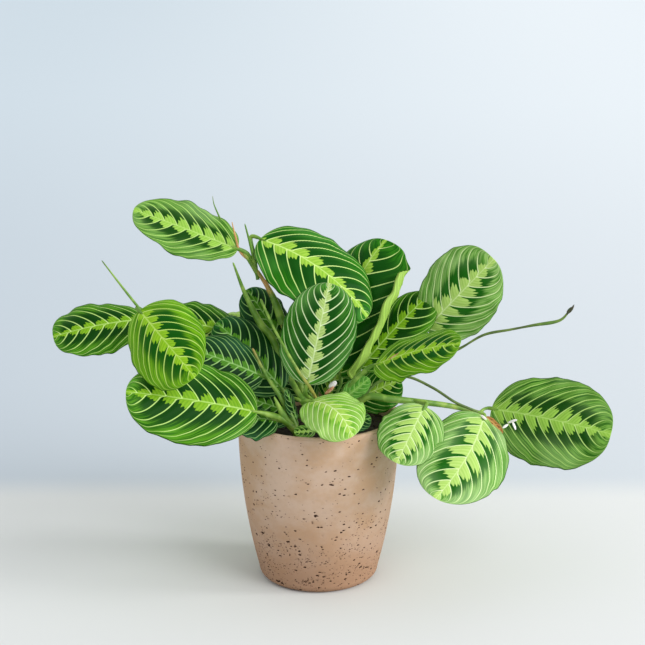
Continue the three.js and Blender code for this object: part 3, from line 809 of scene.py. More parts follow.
def leaf_finish(tone, vein_width):
    """The upper face: pale midrib and arching veins, a toothed lime band, dark patches, streaked
    margins and a painted sheen in clouds. The Veins map holds the side vein's number and the distance from
    the midrib as a share of the band, and the Blade map the shares of the length and of the half width."""
    paint = TONES[tone]
    finish = Finish(f"leaf_{tone}")
    phase, side_reach = finish.uv("Veins")
    s, side_share = finish.uv("Blade")
    reach = abs(side_reach)
    share = abs(side_share)
    side = side_reach.sign()
    gap = finish.attribute("vein_gap")
    from_midrib = finish.attribute("from_midrib")

    cell = phase.whole()
    across = phase.part()
    draw = finish.chance(cell, side, 0.0)
    draw_again = finish.chance(cell, side, 5.0)
    streaks = finish.pattern(phase * 5.0, share * 1.8, side * 3.0, 2.0, 0.6)
    comb = finish.pattern(phase * 9.0, share * 0.8, side * 7.0, 1.0)
    lines = finish.pattern(phase * 9.0, share * 1.2, side * 5.0, 1.0)
    bites = finish.pattern(phase * 4.0, side * 9.0, 0.0, 0.0)
    clouds = finish.noise(finish.place(), 40.0, 2.0)

    teeth_at = across + (draw_again - 0.5) * TEETH_SHIFT
    outline = finish.node("ShaderNodeFloatCurve", {"points": LOBE_OUTLINE}, {"Value": teeth_at}).out("Value")
    swell = s.step(*BAND_GROWS) * (1 - s.step(*BAND_SHRINKS) * 0.7)
    lobe_end = (outline * (draw * LOBE_SPREAD + LEAST_LOBE) + (bites - 0.5) * BITE_DEPTH) * swell
    in_lobe = (lobe_end - reach).step(-0.05, 0.05)

    patch_end = (draw_again - 0.5) * PATCH_SPREAD + paint.patch_end + (comb - 0.5) * COMB_DEPTH
    in_patch = (patch_end - share).step(-paint.patch_fade, paint.patch_fade)
    patch_starts = (s + (draw - 0.5) * START_SPREAD).step(0.0, paint.patch_start)
    patch_strength = patch_starts * (1 - s.step(*PATCHES_FADE))

    vein_fade = 1 - s.step(*VEINS_THIN) * 0.7
    half_vein = vein_width / MM / 2 * (1 - share * 0.4) * vein_fade * (gap / FULL_VEIN_GAP).least(1.0)
    to_vein = across.least(1 - across) * gap
    on_vein = (half_vein - to_vein).step(*VEIN_EDGE)
    half_midrib = 0.75 - s * 0.4
    on_midrib = (half_midrib - from_midrib).step(*MIDRIB_EDGE)

    base = finish.blend(paint.margin_shade, paint.margin, streaks.step(0.36, 0.58))
    base = finish.blend(base, paint.dark, lines.step(0.48, 0.6) * share.step(*LINES_GROW) * LINES_SHOW)
    base = finish.blend(base, paint.dark, in_patch * patch_strength)
    # Painted sheen: pale clouds over the outer part of the blade, standing for light reflected by its
    # surface.
    painted_sheen = finish.noise(finish.place(), 24.0, 1.0).step(0.42, 0.72) * share.step(*SHEEN_GROWS)
    base = finish.blend(base, paint.painted_sheen, painted_sheen * SHEEN_SHOWS)
    ribs = ((across * RIBS_TURN).sine() * 0.5 + 0.5) * 0.5
    lobe = finish.blend(paint.lobe, paint.lobe_shade, ribs + clouds * 0.5 - 0.1)
    base = finish.blend(base, lobe, in_lobe)
    base = finish.blend(base, paint.vein, on_vein * (1 - share.step(*VEINS_FADE) * 0.5))
    base = finish.blend(base, paint.vein, on_midrib * (0.7 - s * 0.3))
    base = finish.blend(base, paint.edge, share.step(*EDGE_STARTS) * EDGE_SHOWS)

    height = on_vein * -0.6 + streaks * 0.5 + clouds * 0.2
    roughness = streaks * 0.14 + (paint.roughness - 0.05)
    return finish.surface(base, roughness, finish.bump(height, 0.35, LEAF_RELIEF), shine=0.08)


def underside_finish(shade):
    """The lower face: pale and matt, with the veins showing through faintly."""
    finish = Finish("leaf_underside")
    phase, _ = finish.uv("Veins")
    s, side_share = finish.uv("Blade")
    gap = finish.attribute("vein_gap")
    from_midrib = finish.attribute("from_midrib")
    across = phase.part()
    streaks = finish.pattern(phase * 7.0, abs(side_share) * 1.6, 2.0, 3.0)
    on_vein = (0.6 - across.least(1 - across) * gap).step(-0.4, 0.3)
    on_midrib = (1.6 - s - from_midrib).step(-0.6, 0.4)
    darker = tuple(c * 0.62 for c in shade)
    paler = tuple(min(1.0, c * 1.35) for c in shade)
    base = finish.blend(shade, darker, streaks.step(0.35, 0.75) * 0.8)
    base = finish.blend(base, paler, on_vein * 0.6)
    base = finish.blend(base, paler, on_midrib * 0.9)
    height = on_vein * 0.7 + streaks * 0.3
    return finish.surface(base, streaks * 0.2 + 0.5, finish.bump(height, 0.4, LEAF_RELIEF))


def stalk_finish(settings):
    """Green stalks, dry and pinkish where the tint rises to 1, dark where it falls to -1."""
    finish = Finish("stalk")
    place = finish.place()
    tint = finish.attribute("tint")
    grain = finish.noise(place, 700.0, 2.0)
    clouds = finish.noise(place, 90.0, 2.0)
    specks = finish.noise(place, 500.0, 1.0).step(0.66, 0.74)
    base = finish.blend(settings.green, settings.pale, clouds.step(0.4, 0.7))
    patchy = tint + (clouds - 0.5) * 0.6
    base = finish.blend(base, settings.dry, patchy.step(0.1, 0.8))
    base = finish.blend(base, settings.brown, patchy.step(0.0, -1.3) * 0.8)
    base = finish.blend(base, settings.brown, specks * (tint * 0.5 + 0.1))
    return finish.surface(base, grain * 0.2 + 0.38, finish.bump(grain, 0.2, 0.4 * MM))


# Sizes of pit: the grid's cell and where it is shifted to, in metres, the share of cells with a pit
# at the foot and at the rim, and the largest pit's radius in cells.
PITS = [(0.014, 0.0, 0.7, 0.0, 0.13), (0.008, 3.1, 0.65, 0.08, 0.15), (0.0042, 7.7, 0.8, 0.12, 0.2)]
FINE_PITS = (0.0022, 6.4, 1.0, 0.25, 0.24)
# How much flatter than wide a pit is, and how far its grid is bent, in cells.
PIT_FLATNESS = 2.1
PIT_BEND = 0.3
# The finest pits lie along this many trails round the pot, and below this height.
TRAILS = 3
FINE_PITS_BELOW = 80 * MM


def pit_layer(graph, place, cell, moved_by, share_at_foot, share_at_rim, size):
    """Pits, one at most in each cell of a grid that is flatter than it is wide: 0 outside a pit and up
    to 1 inside. The higher up, the fewer cells have one."""
    moved = graph.shift(place, (moved_by, moved_by, moved_by))
    bend = graph.noise(moved, 3 / cell, 2.0) * (cell * PIT_BEND)
    moved = graph.stretch(graph.shift(moved, graph.vector(bend, 0.0, bend)), (1.0, 1.0, PIT_FLATNESS))
    pits = graph.node("ShaderNodeTexVoronoi", {}, {"Vector": moved, "Scale": 1 / cell, "Randomness": 1.0})
    draw, draw_size, _ = graph.separate(pits.out("Color"))
    _, _, z = graph.separate(place)
    allowed = z.step(POT_HIGH.z, 0.0) * (share_at_foot - share_at_rim) + share_at_rim
    chosen = (allowed - draw).step(-0.001, 0.001)
    radius = (draw_size * draw_size * 0.8 + 0.2) * (size * 2)
    return ((radius - pits.out("Distance")) / size).step(0.0, 0.5) * chosen


def all_pits(graph, place):
    """Pits of all sizes, the finest of them only near the foot and along a few trails that wander
    round the pot."""
    large, middle, small = (pit_layer(graph, place, *layer) for layer in PITS)
    drift = graph.noise(graph.stretch(place, (1.0, 1.0, 2.2)), 9.0, 1.0)
    trail = 1 - abs((drift * (2 * TRAILS)).part() - 0.5) * 2
    _, _, z = graph.separate(place)
    low = z.step(FINE_PITS_BELOW, 0.0) * 0.5
    fine = pit_layer(graph, place, *FINE_PITS) * (trail + low).step(0.62, 0.86)
    return large.most(middle).most(small).most(fine * 0.9)


# The painted shade at the foot starts at this height and would be full at the other, which is below the
# ground.
FOOT_SHADE = (120 * MM, -20 * MM)


def pot_finish(settings):
    """Matt stone effect: a pinkish beige body with warm clouds, dark brown pits and painted shade towards the
    foot.
    """
    finish = Finish("pot_stone")
    place = finish.place()
    _, _, z = finish.separate(place)
    clouds = finish.noise(finish.stretch(place, (1.0, 1.0, 1.4)), 22.0, 4.0, 0.6)
    grain = finish.noise(place, 900.0, 3.0, 0.7)
    fine = finish.noise(place, 260.0, 3.0)
    pits = all_pits(finish, place)
    base = finish.blend(settings.clay, settings.clay_warm, clouds.step(0.35, 0.65))
    base = finish.blend(base, tuple(c * 0.8 for c in settings.clay), fine.step(0.5, 0.8) * 0.35)
    # Painted shade: the pot grows darker towards its foot.
    base = finish.blend(base, settings.foot, z.step(*FOOT_SHADE))
    base = finish.blend(base, settings.pit, pits.step(0.05, 0.6) * 0.96)
    height = grain * 0.12 + fine * 0.15 - pits
    return finish.surface(base, 0.72 + grain * 0.2, finish.bump(height, 0.5, 0.8 * MM), shine=0.15)


def soil_finish(settings):
    """Dark potting soil, with paler clouds and short fibres."""
    finish = Finish("potting_soil")
    place = finish.place()
    clouds = finish.noise(place, 180.0, 4.0, 0.65)
    fibres = finish.noise(finish.stretch(place, (1.0, 3.0, 1.0)), 420.0, 2.0)
    base = finish.blend(settings.dark, settings.light, clouds.step(0.5, 0.75) * 0.6)
    base = finish.blend(base, settings.light, fibres.step(0.66, 0.72) * 0.7)
    return finish.surface(base, 0.95, finish.bump(clouds, 0.6, 1 * MM))


def plain_finish(name, first, second, scale, roughness):
    """Two colours in soft clouds, for petals, buds and dry bits."""
    finish = Finish(name)
    clouds = finish.noise(finish.place(), scale, 3.0)
    base = finish.blend(first, second, clouds.step(0.35, 0.65))
    return finish.surface(base, roughness, finish.bump(clouds, 0.3, 0.5 * MM))


# The floor reaches this far each way. The table's edge is behind the pot and blurs by this much.
FLOOR_REACH = 6.0
TABLE_EDGE = 0.223
EDGE_BLUR = 0.04


def floor_finish(settings):
    """Off-white near the pot, bluish grey beyond the table's far edge with painted shade near that edge and
    painted light far off, and painted light that makes it lighter to the right.
    """
    finish = Finish("floor")
    x, y, _ = finish.separate(finish.place())
    # Painted shade just behind the table's edge, fading into painted light far behind it.
    behind = finish.blend(settings.behind, settings.far_floor_painted_light, y.step(TABLE_EDGE, 3.0))
    base = finish.blend(settings.table, behind, y.step(TABLE_EDGE - EDGE_BLUR, TABLE_EDGE + EDGE_BLUR))
    # Painted light: lighter towards the right, where the light comes from.
    base = finish.blend(base, (1.0, 1.0, 1.0), x.step(-1.0, 1.0) * 0.4)
    return finish.surface(base, 0.9, shine=0.1)


# ---------------------------------------------------------------- blades


def unit(vector):
    return vector / np.linalg.norm(vector)


def blade_frame(leaf):
    """Base point, the directions along the blade, up from its upper face and across it, and length."""
    base = np.array(leaf.base, float)
    chord = np.array(leaf.tip, float) - base
    length = np.linalg.norm(chord)
    along = chord / length
    turn, rise = np.radians(leaf.face)
    up = np.array([math.sin(turn) * math.cos(rise), -math.cos(turn) * math.cos(rise), math.sin(rise)])
    up = unit(up - along * (up @ along))
    return base, along, up, np.cross(up, along), length


BASE_TAPER = 0.45
# The tip is drawn out from here on, as a share of the length.
POINT_START = 0.8
# A rolled margin starts and ends over this share of the length, and takes this many radii of width.
ROLL_BLEND = 0.16
ROLL_EXTRA = 2.1
# Waves of the outline: how many there are along the blade, and their share of its width.
OUTLINE_WAVES = [(2.0, 0.008), (3.7, 0.008), (6.3, 0.006)]
SCALLOP = 0.012
# Waves up and down: the main one's number, height in mm and lag of one side behind the other in
# radians, and the number and height of the margin's own. A leaf that is slimmer than FULL_WIDTH has
# lower waves and ribs.
WAVES = 1.6
WAVE_HEIGHT = 2.0
WAVE_LAG = 1.9
MARGIN_WAVES = [(3.1, 1.1), (5.3, 0.8)]
FULL_WIDTH = 60


def half_width(leaf, s, side):
    """Half the width at s, 0 at the base and 1 at the tip, as a share of the largest half width."""
    lean = leaf.lean * side
    p = BASE_TAPER - lean
    q = leaf.tip_taper + lean
    widest = p / (p + q)
    return s**p * (1 - s) ** q / (widest**p * (1 - widest) ** q)


def ease(values, low, high):
    """0 at low and 1 at high, smooth between."""
    t = np.clip((values - low) / (high - low), 0, 1)
    return t * t * (3 - 2 * t)


def own_phase(leaf):
    """An angle of each leaf's own, so that no two have the same irregularities."""
    return sum(map(ord, leaf.name)) * 0.37


def outline_wobble(leaf, s, side):
    """The outline's irregularity: slow waves, and a shallow scallop between the side veins' ends."""
    angle = own_phase(leaf) + side
    waves = sum(size * np.sin(2 * np.pi * number * s + angle * number) for number, size in OUTLINE_WAVES)
    return 1 + waves - SCALLOP * np.abs(np.sin(np.pi * leaf.pairs * s + angle))


def cross_section(leaf, s, u, share):
    """How far along the blade's own width each point is, and how far beside and above the midrib."""
    half = leaf.width / 2
    side = np.sign(u)
    width = share * half
    radius = 1.0
    rolled = np.zeros_like(s)
    if leaf.roll:
        rolled_side, start, end, radius = leaf.roll
        rolled = ease(s, start, start + ROLL_BLEND) * ease(s, end, end - ROLL_BLEND) * (side == rolled_side)
    reach = np.abs(u) * (width + ROLL_EXTRA * radius * rolled)
    flat = np.minimum(reach, width - radius * rolled)
    slope = math.radians(leaf.fold) - math.radians(leaf.cup) * flat / half + (reach - flat) / radius

    def summed(values):
        steps = (values[:, 1:] + values[:, :-1]) / 2 * np.abs(np.diff(reach, axis=1))
        total = np.concatenate([np.zeros_like(s[:, :1]), np.cumsum(steps, axis=1)], axis=1)
        return total - total[:, u.shape[1] // 2, None]

    return reach, summed(np.cos(slope)), summed(np.sin(slope)) * side


def blade_grid(leaf, rows, columns):
    """The middle surface on a grid of s along and u across: s, u, the distance from the midrib, the
    share of the largest width and the places, in mm."""
    base, along, up, across, length = blade_frame(leaf)
    s = (1 - np.cos(np.pi * np.linspace(0, 1, rows + 1))) / 2
    u = np.linspace(-1, 1, columns + 1)
    s, u = np.meshgrid(s, u, indexing="ij")
    side = np.sign(u)
    arch = math.radians(leaf.arch)
    turn = arch * (s - 0.5)
    bend = length / 2 / math.sin(arch / 2)
    ahead = bend * (np.sin(turn) + math.sin(arch / 2))
    raised = bend * (np.cos(turn) - math.cos(arch / 2))
    bowed = leaf.sway * 4 * s * (1 - s)
    above = along * np.sin(turn)[..., None] + up * np.cos(turn)[..., None]
    ahead = ahead + leaf.point * np.clip((s - POINT_START) / (1 - POINT_START), 0, 1) ** 3

    share = half_width(leaf, s, side) * outline_wobble(leaf, s, side)
    reach, sideways, height = cross_section(leaf, s, u, share)
    ripple = WAVE_HEIGHT * u * u * np.sin(2 * np.pi * WAVES * s + np.where(u > 0, 0, WAVE_LAG))
    for number, size in MARGIN_WAVES:
        ripple += size * u**4 * np.sin(2 * np.pi * number * s + own_phase(leaf) * number + side)
    height = height + ripple * share * min(1, leaf.width / FULL_WIDTH)

    place = base + along * ahead[..., None] + up * raised[..., None] + across * bowed[..., None]
    place = place + across * sideways[..., None] + above * height[..., None]
    return s, u, reach, share, place


def surface_directions(place):
    """Unit directions square to a grid of places."""
    square = np.cross(np.gradient(place, axis=0), np.gradient(place, axis=1))
    size = np.linalg.norm(square, axis=-1, keepdims=True)
    square = square / np.maximum(size, 1e-9)
    square[0], square[-1] = square[1], square[-2]
    return square


# How steeply a side vein leaves the midrib, how strongly it sweeps forward near the margin and, the
# nearer to 1, how long it runs beside the margin.
VEIN_SLANT = 0.42
VEIN_SWEEP = 0.85
VEIN_REACH = 0.94
# Veins that reach a blade's base corners start before its base, at this share of its length at most,
# and their numbers are shifted by BASE_VEINS, to stay above 0.
VEINS_BEFORE_BASE = -0.6
LAST_VEIN = 0.9999
HALVINGS = 30
BASE_VEINS = 6
# Veins near the base sweep forward by this share of the rule's amount, and those between these shares
# of the length by ever more of it. Towards the tip it grows by TIP_SWEEP.
BASE_SWEEP = 0.6
SWEEP_GROWS = (-0.1, 0.25)
TIP_SWEEP = 0.3
# How much closer together veins are near the base and the tip.
VEIN_CROWDING = 0.02
# What is added to the numbers on each side, so that the two sides' veins leave the midrib in turn.
SIDE_SHIFTS = (0.5, 0.8)


def vein_phase(leaf, s, u, reach, share, length):
    """Which side vein a point is at, as a number that is whole on a vein. A vein leaves the midrib
    at a steep slant and curves forward, ever more strongly, until it runs beside the margin. Where it
    starts on the midrib is found by halving."""
    half = leaf.width / 2
    slanted = VEIN_SLANT * reach / length - VEIN_SWEEP * half / length * np.log(1 - VEIN_REACH * share**2)
    low = np.full_like(s, VEINS_BEFORE_BASE)
    high = np.full_like(s, LAST_VEIN)
    for _ in range(HALVINGS):
        start = (low + high) / 2
        sweep = BASE_SWEEP + (1 - BASE_SWEEP) * ease(start, *SWEEP_GROWS)
        forward = sweep * (1 + TIP_SWEEP * start) * slanted
        reached = start + (1 - start) * (1 - np.exp(-forward / (1 - start)))
        high = np.where(reached > s, start, high)
        low = np.where(reached > s, low, start)
    number = (start + VEIN_CROWDING * np.sin(2 * np.pi * start)) * leaf.pairs + BASE_VEINS
    return number + np.where(u > 0, *SIDE_SHIFTS)


def vein_gap(phase, place):
    """Distance between neighbouring side veins, in mm, square to them."""
    row, column = np.gradient(place, axis=0), np.gradient(place, axis=1)
    phase_row, phase_column = np.gradient(phase, axis=0), np.gradient(phase, axis=1)
    e, f, g = (row * row).sum(-1), (row * column).sum(-1), (column * column).sum(-1)
    steepness = g * phase_row**2 - 2 * f * phase_row * phase_column + e * phase_column**2
    gap = np.sqrt(np.maximum(e * g - f * f, 1e-12) / np.maximum(steepness, 1e-9))
    gap[0], gap[-1] = gap[1], gap[-2]
    return np.clip(gap, 0.5, 40)


def skin(grid):
    """The faces of a closed skin over a grid, upper side first. Each is its vertices' numbers, its
    corners' rows and columns, and whether it is on the underside. The sides share margins and ends."""
    rows, columns = grid.shape[0] - 1, grid.shape[1] - 1
    index = np.arange(grid.size).reshape(grid.shape)
    top = index.copy()
    top[0], top[-1] = index[0, 0], index[-1, 0]
    under = index + grid.size
    under[:, 0], under[:, -1] = top[:, 0], top[:, -1]
    under[0], under[-1] = top[0], top[-1]
    faces = []
    for is_under, numbers in ((False, top), (True, under)):
        for i in range(rows):
            for j in range(columns):
                ring = [(i, j), (i, j + 1), (i + 1, j + 1), (i + 1, j)]
                if i == 0:
                    ring = ring[1:]
                elif i == rows - 1:
                    ring = ring[:3]
                if not is_under:
                    ring.reverse()
                faces.append(([numbers[corner] for corner in ring], ring, is_under))
    return faces


# The midrib's half width in mm, and within what distance of the midrib, in mm, and of the margin, as a
# share of the half width, the quilting is less. In full it needs veins FULL_QUILTING_GAP mm apart.
MIDRIB_HALF = 1.6
QUILTING_FROM = 6
QUILTING_TO = 1 / 6
FULL_QUILTING_GAP = 10
# Steps between leaves in the number of their first vein, so that no two draw the same lobes.
VEIN_NUMBERS = 40
# A leaf's place on its bake: the upper side's middle line, with the underside's half the picture
# further on, half the room across, and the room beyond its ends.
BAKE_MIDDLE = 0.25
BAKE_HALF = 0.24
BAKE_MARGIN = 0.02


def blade_mesh(leaf, number, settings):
    """A closed skin over a blade, with the maps of its pattern and a flat one for its bake."""
    s, u, reach, share_width, place = blade_grid(leaf, settings.rows, settings.columns)
    _, _, up, _, length = blade_frame(leaf)
    share = np.abs(u)
    phase = vein_phase(leaf, s, u, reach, share, length)
    gap = vein_gap(phase, place)
    direction = surface_directions(place)
    if direction[settings.rows // 2, settings.columns // 2] @ up < 0:
        direction = -direction

    across = phase - np.floor(phase)
    inside = np.minimum(1, reach / QUILTING_FROM) * np.minimum(1, (1 - share) / QUILTING_TO)
    swell = (np.sin(np.pi * across) - 0.6) * inside * np.clip(gap / FULL_QUILTING_GAP, 0, 1)
    taper = np.sqrt(np.clip(1 - share**8, 0, 1)) * np.minimum(1, share_width * 3)
    half_thickness = settings.thickness / MM / 2 * taper
    near_midrib = np.exp(-((reach / MIDRIB_HALF) ** 2)) * np.minimum(1, share_width * 2)
    near_midrib = near_midrib * min(1, leaf.width / FULL_WIDTH)
    middle = settings.quilting / MM * swell
    upper = middle + half_thickness - settings.groove / MM * near_midrib * (1 - s)
    lower = middle - half_thickness - settings.rib / MM * near_midrib * (1 - s) ** 0.7
    places = [(place + direction * side[..., None]).reshape(-1, 3) for side in (upper, lower)]
    places = np.concatenate(places) * MM

    faces = skin(s)
    used = np.unique(np.concatenate([numbers for numbers, _, _ in faces]))
    renumber = np.full(len(places), -1)
    renumber[used] = np.arange(len(used))
    mesh = bpy.data.meshes.new(leaf.name)
    mesh.from_pydata(places[used].tolist(), [], [renumber[numbers].tolist() for numbers, _, _ in faces])

    corners = [(i, j, is_under) for _, ring, is_under in faces for i, j in ring]
    i, j, is_under = (np.array(column) for column in zip(*corners))
    band = leaf.width / 2 * leaf.band
    bake_across = BAKE_MIDDLE + BAKE_HALF * (u * share_width)[i, j] + 0.5 * is_under
    maps = {
        "OFBake": (bake_across, BAKE_MARGIN + (1 - 2 * BAKE_MARGIN) * s[i, j]),
        "Veins": (phase[i, j] + VEIN_NUMBERS * number, (reach * np.sign(u))[i, j] / band),
        "Blade": (s[i, j], u[i, j]),
    }
    for name, values in maps.items():
        layer = mesh.uv_layers.new(name=name)
        layer.uv.foreach_set("vector", np.stack(values, -1).astype(np.float32).ravel())
    for name, values in (("vein_gap", gap), ("from_midrib", reach)):
        both = np.concatenate([values.ravel(), values.ravel()])[used]
        mesh.attributes.new(name, "FLOAT", "POINT").data.foreach_set("value", both.astype(np.float32))
    mesh.polygons.foreach_set("material_index", [int(is_under) for _, _, is_under in faces])
    mesh.polygons.foreach_set("use_smooth", [True] * len(faces))
    mesh.validate()
    mesh.update()
    return mesh


# ---------------------------------------------------------------- stalks


def smooth_path(points, step):
    """Points along a centripetal Catmull-Rom curve, about step apart, and their shares of its length."""
    points = [np.array(p, float) for p in points]
    ends = [2 * points[0] - points[1], *points, 2 * points[-1] - points[-2]]
    made = []
    for a, b, c, d in zip(ends, ends[1:], ends[2:], ends[3:]):
        ta = 0.0
        tb = ta + np.linalg.norm(b - a) ** 0.5
        tc = tb + np.linalg.norm(c - b) ** 0.5
        td = tc + np.linalg.norm(d - c) ** 0.5
        steps = max(2, int(np.linalg.norm(c - b) / step))
        for t in tb + (tc - tb) * np.arange(steps) / steps:
            ab = a + (b - a) * (t - ta) / (tb - ta)
            bc = b + (c - b) * (t - tb) / (tc - tb)
            cd = c + (d - c) * (t - tc) / (td - tc)
            abc = ab + (bc - ab) * (t - ta) / (tc - ta)
            bcd = bc + (cd - bc) * (t - tb) / (td - tb)
            made.append(abc + (bcd - abc) * (t - tb) / (tc - tb))
    made = np.array([*made, points[-1]])
    lengths = np.concatenate([[0], np.cumsum(np.linalg.norm(np.diff(made, axis=0), axis=1))])
    return made, lengths / lengths[-1]


def spread(values, shares):
    """Values spaced evenly from 0 to 1, read at the given shares."""
    return np.interp(shares, np.linspace(0, 1, len(values)), values)


# The swollen joint below a blade, in mm. A leaf that is slimmer than SMALL_WIDTH has none.
JOINT_RADIUS = 1.9
JOINT_LENGTH = 9
SMALL_WIDTH = 25
# How far a petiole runs on under its blade, in mm and as a share of the blade's width at most.
RUNS_ON = 7
RUNS_ON_SHARE = 1 / 6
# Where a petiole bows, as a share of its way, and how much higher than straight, as a share of it.
BOWS_AT = 0.45
BOWS_UP = 0.08
# Steps along a blade whose midrib's first two give the way that the petiole runs in.
MIDRIB_STEPS = 16


def petiole(leaf):
    """A leaf's own stalk: it bows up from the shoot, swells below the blade and runs on as the midrib."""
    place = blade_grid(leaf, MIDRIB_STEPS, 2)[-1]
    base = place[0, 1]
    into = unit(place[2, 1] - base)
    start = np.array(leaf.start, float)
    reach = np.linalg.norm(base - start)
    swell = base - into * min(JOINT_LENGTH, reach / 3)
    bow = start + (swell - start) * BOWS_AT + np.array([0, 0, reach * BOWS_UP])
    end = base + into * min(RUNS_ON, leaf.width * RUNS_ON_SHARE)
    path = [start, bow, swell, end]
    thick = leaf.petiole
    if leaf.width < SMALL_WIDTH:
        return Stalk(path, [thick, thick * 0.9, 0.6, 0.3], [1.0 if leaf.tone == "dry" else 0.0])
    radii = [thick * 1.15, thick, thick * 0.95, max(thick, JOINT_RADIUS), JOINT_RADIUS, 0.5]
    return Stalk(path, radii, [0.15, 0, 0, 0, 0.05, 0])


# How deep a stem stands in the soil, in mm.
STEM_DEPTH = 18


def stalks_of(shoot):
    """A shoot's stem, from below the soil, its spikes and its leaves' petioles."""
    x, y = shoot.root
    highest = max((leaf.start for leaf in shoot.leaves), key=lambda start: start[2])
    soil = SOIL_TOP / MM
    path = [(x, y, soil - STEM_DEPTH), (x, y, soil), *(shoot.stem or [highest])]
    stem = Stalk(path, shoot.stem_radii, shoot.stem_tints)
    return [stem, *shoot.spikes, *map(petiole, shoot.leaves)]


def stalk_tree(material):
    """Sweeps a round section along every chain of edges, as thick as each of its points says."""
    growth = Growth("grow_stalks", {"Sides": "Int"})
    paths = growth.node("GeometryNodeMeshToCurve", {}, {"Mesh": growth.given("Mesh")}).out("Curve")
    sockets = {"Resolution": growth.given("Sides"), "Radius": 1.0}
    section = growth.node("GeometryNodeCurvePrimitiveCircle", {}, sockets).out("Curve")
    thickness = growth.attribute("thickness")
    sockets = {"Curve": paths, "Profile Curve": section, "Scale": thickness, "Fill Caps": True}
    swept = growth.node("GeometryNodeCurveToMesh", {}, sockets).out("Mesh")
    return growth.finish(growth.smooth(swept), material)


def grown(name, seed, tree, inputs):
    """A plain mesh of what a geometry node tree makes of a mesh, in the tree's material alone."""
    seedling = bpy.data.objects.new(name, seed)
    bpy.context.scene.collection.objects.link(seedling)
    modifier = seedling.modifiers.new("Grow", "NODES")
    modifier.node_group = tree
    for title, value in inputs.items():
        socket = next(item for item in tree.interface.items_tree if item.name == title)
        modifier[socket.identifier] = value
    graph = bpy.context.evaluated_depsgraph_get()
    made = bpy.data.meshes.new_from_object(
        seedling.evaluated_get(graph), preserve_all_data_layers=True, depsgraph=graph
    )
    seedling.modifiers.remove(modifier)
    bpy.data.objects.remove(seedling)
    made.name = name
    material = made.materials[-1]
    made.materials.clear()
    made.materials.append(material)
    made.polygons.foreach_set("material_index", [0] * len(made.polygons))
    return made


# A stalk's last point has this share of its radius, which rounds its end.
END_ROUNDING = 0.5


def stalk_paths(name, stalks, step):
    """Every stalk as a chain of edges, with its thickness and tint at each point."""
    places, thickness, tints, edges = [], [], [], []
    for stalk in stalks:
        path, shares = smooth_path(stalk.path, step / MM)
        radii = spread(stalk.radii, shares)
        radii[-1] *= END_ROUNDING
        first = len(places)
        edges.extend((first + i, first + i + 1) for i in range(len(path) - 1))
        places.extend((path * MM).tolist())
        thickness.extend(radii * MM)
        tints.extend(spread(stalk.tints, shares))
    mesh = bpy.data.meshes.new(name)
    mesh.from_pydata(places, edges, [])
    for title, values in (("thickness", thickness), ("tint", tints)):
        mesh.attributes.new(title, "FLOAT", "POINT").data.foreach_set("value", np.array(values, np.float32))
    return mesh


# ---------------------------------------------------------------- pot and soil

# Distances between rings on the pot's side and rim, below its base and inside it.
POT_STEP = 1.35 * MM
BASE_STEP = 12 * MM
INSIDE_STEP = 6 * MM
POT_SEGMENTS = 420
# Heights at which the side's curve is worked out, outside and inside.
SIDE_HEIGHTS = 60
INSIDE_HEIGHTS = 30
# Points of a profile that are nearer each other than this are one.
SAME_PLACE = 0.001 * MM


def turned(name, profile, segments):
    """A closed skin of revolution. profile runs from axis to axis, radius and height in metres."""
    angles = np.linspace(0, 2 * np.pi, segments, endpoint=False)
    places = []
    rings = []
    kept = [profile[0]]
    kept.extend(end for start, end in zip(profile, profile[1:]) if math.dist(start, end) > SAME_PLACE)
    for radius, z in kept:
        if radius == 0:
            rings.append([len(places)] * segments)
            places.append((0, 0, z))
            continue
        rings.append(list(range(len(places), len(places) + segments)))
        places.extend(zip(radius * np.cos(angles), radius * np.sin(angles), np.full(segments, z)))
    faces = []
    for low, high in zip(rings, rings[1:]):
        for i in range(segments):
            k = (i + 1) % segments
            faces.append(list(dict.fromkeys([low[i], low[k], high[k], high[i]])))
    mesh = bpy.data.meshes.new(name)
    mesh.from_pydata([tuple(map(float, place)) for place in places], [], faces)
    mesh.update()
    return mesh


def resampled(corners, step):
    """The corners' outline with points no further apart than step."""
    made = [corners[0]]
    for a, b in zip(corners, corners[1:]):
        parts = max(1, math.ceil(math.dist(a, b) / step))
        shares = [i / parts for i in range(1, parts + 1)]
        made.extend((a[0] + (b[0] - a[0]) * t, a[1] + (b[1] - a[1]) * t) for t in shares)
    return made


def pot_radius(settings, z):
    """The outer radius at a height: a straight taper with a slight belly."""
    t = z / settings.height
    straight = settings.foot_radius + (settings.rim_radius - settings.foot_radius) * t
    return straight + settings.belly * 4 * t * (1 - t)


def arc(centre, radius, first, last, parts):
    """Points on a circle from the first angle to the last, in degrees."""
    angles = np.radians(np.linspace(first, last, parts + 1))
    return [(centre[0] + radius * math.cos(a), centre[1] + radius * math.sin(a)) for a in angles]


def pot_profile(settings):
    """From the middle of the base, out and up the side, over the rim and down to the inner floor."""
    foot = settings.foot_round
    foot_centre = (pot_radius(settings, foot) - foot, foot)
    base = [(0, 0), (foot_centre[0], 0)]
    outside = arc(foot_centre, foot, -90, -6, 8)
    side_start = outside[-1][1] + POT_STEP
    top = settings.height - settings.rim_round
    outside += [(pot_radius(settings, z), z) for z in np.linspace(side_start, top, SIDE_HEIGHTS)]
    outside += arc((settings.rim_radius - settings.rim_round, top), settings.rim_round, 0, 90, 6)
    inner = settings.rim_radius - settings.wall + settings.rim_round
    inside = arc((inner, top), settings.rim_round, 90, 180, 6)
    floor = settings.floor
    heights = np.linspace(top, floor, INSIDE_HEIGHTS)[1:]
    inside += [(pot_radius(settings, z) - settings.wall, z) for z in heights] + [(0, floor)]
    return resampled(base, BASE_STEP) + resampled(outside, POT_STEP) + resampled(inside, INSIDE_STEP)


# There are no pits below the first height, by the table, and they are full above the second.
PITS_FROM = (2 * MM, 6 * MM)


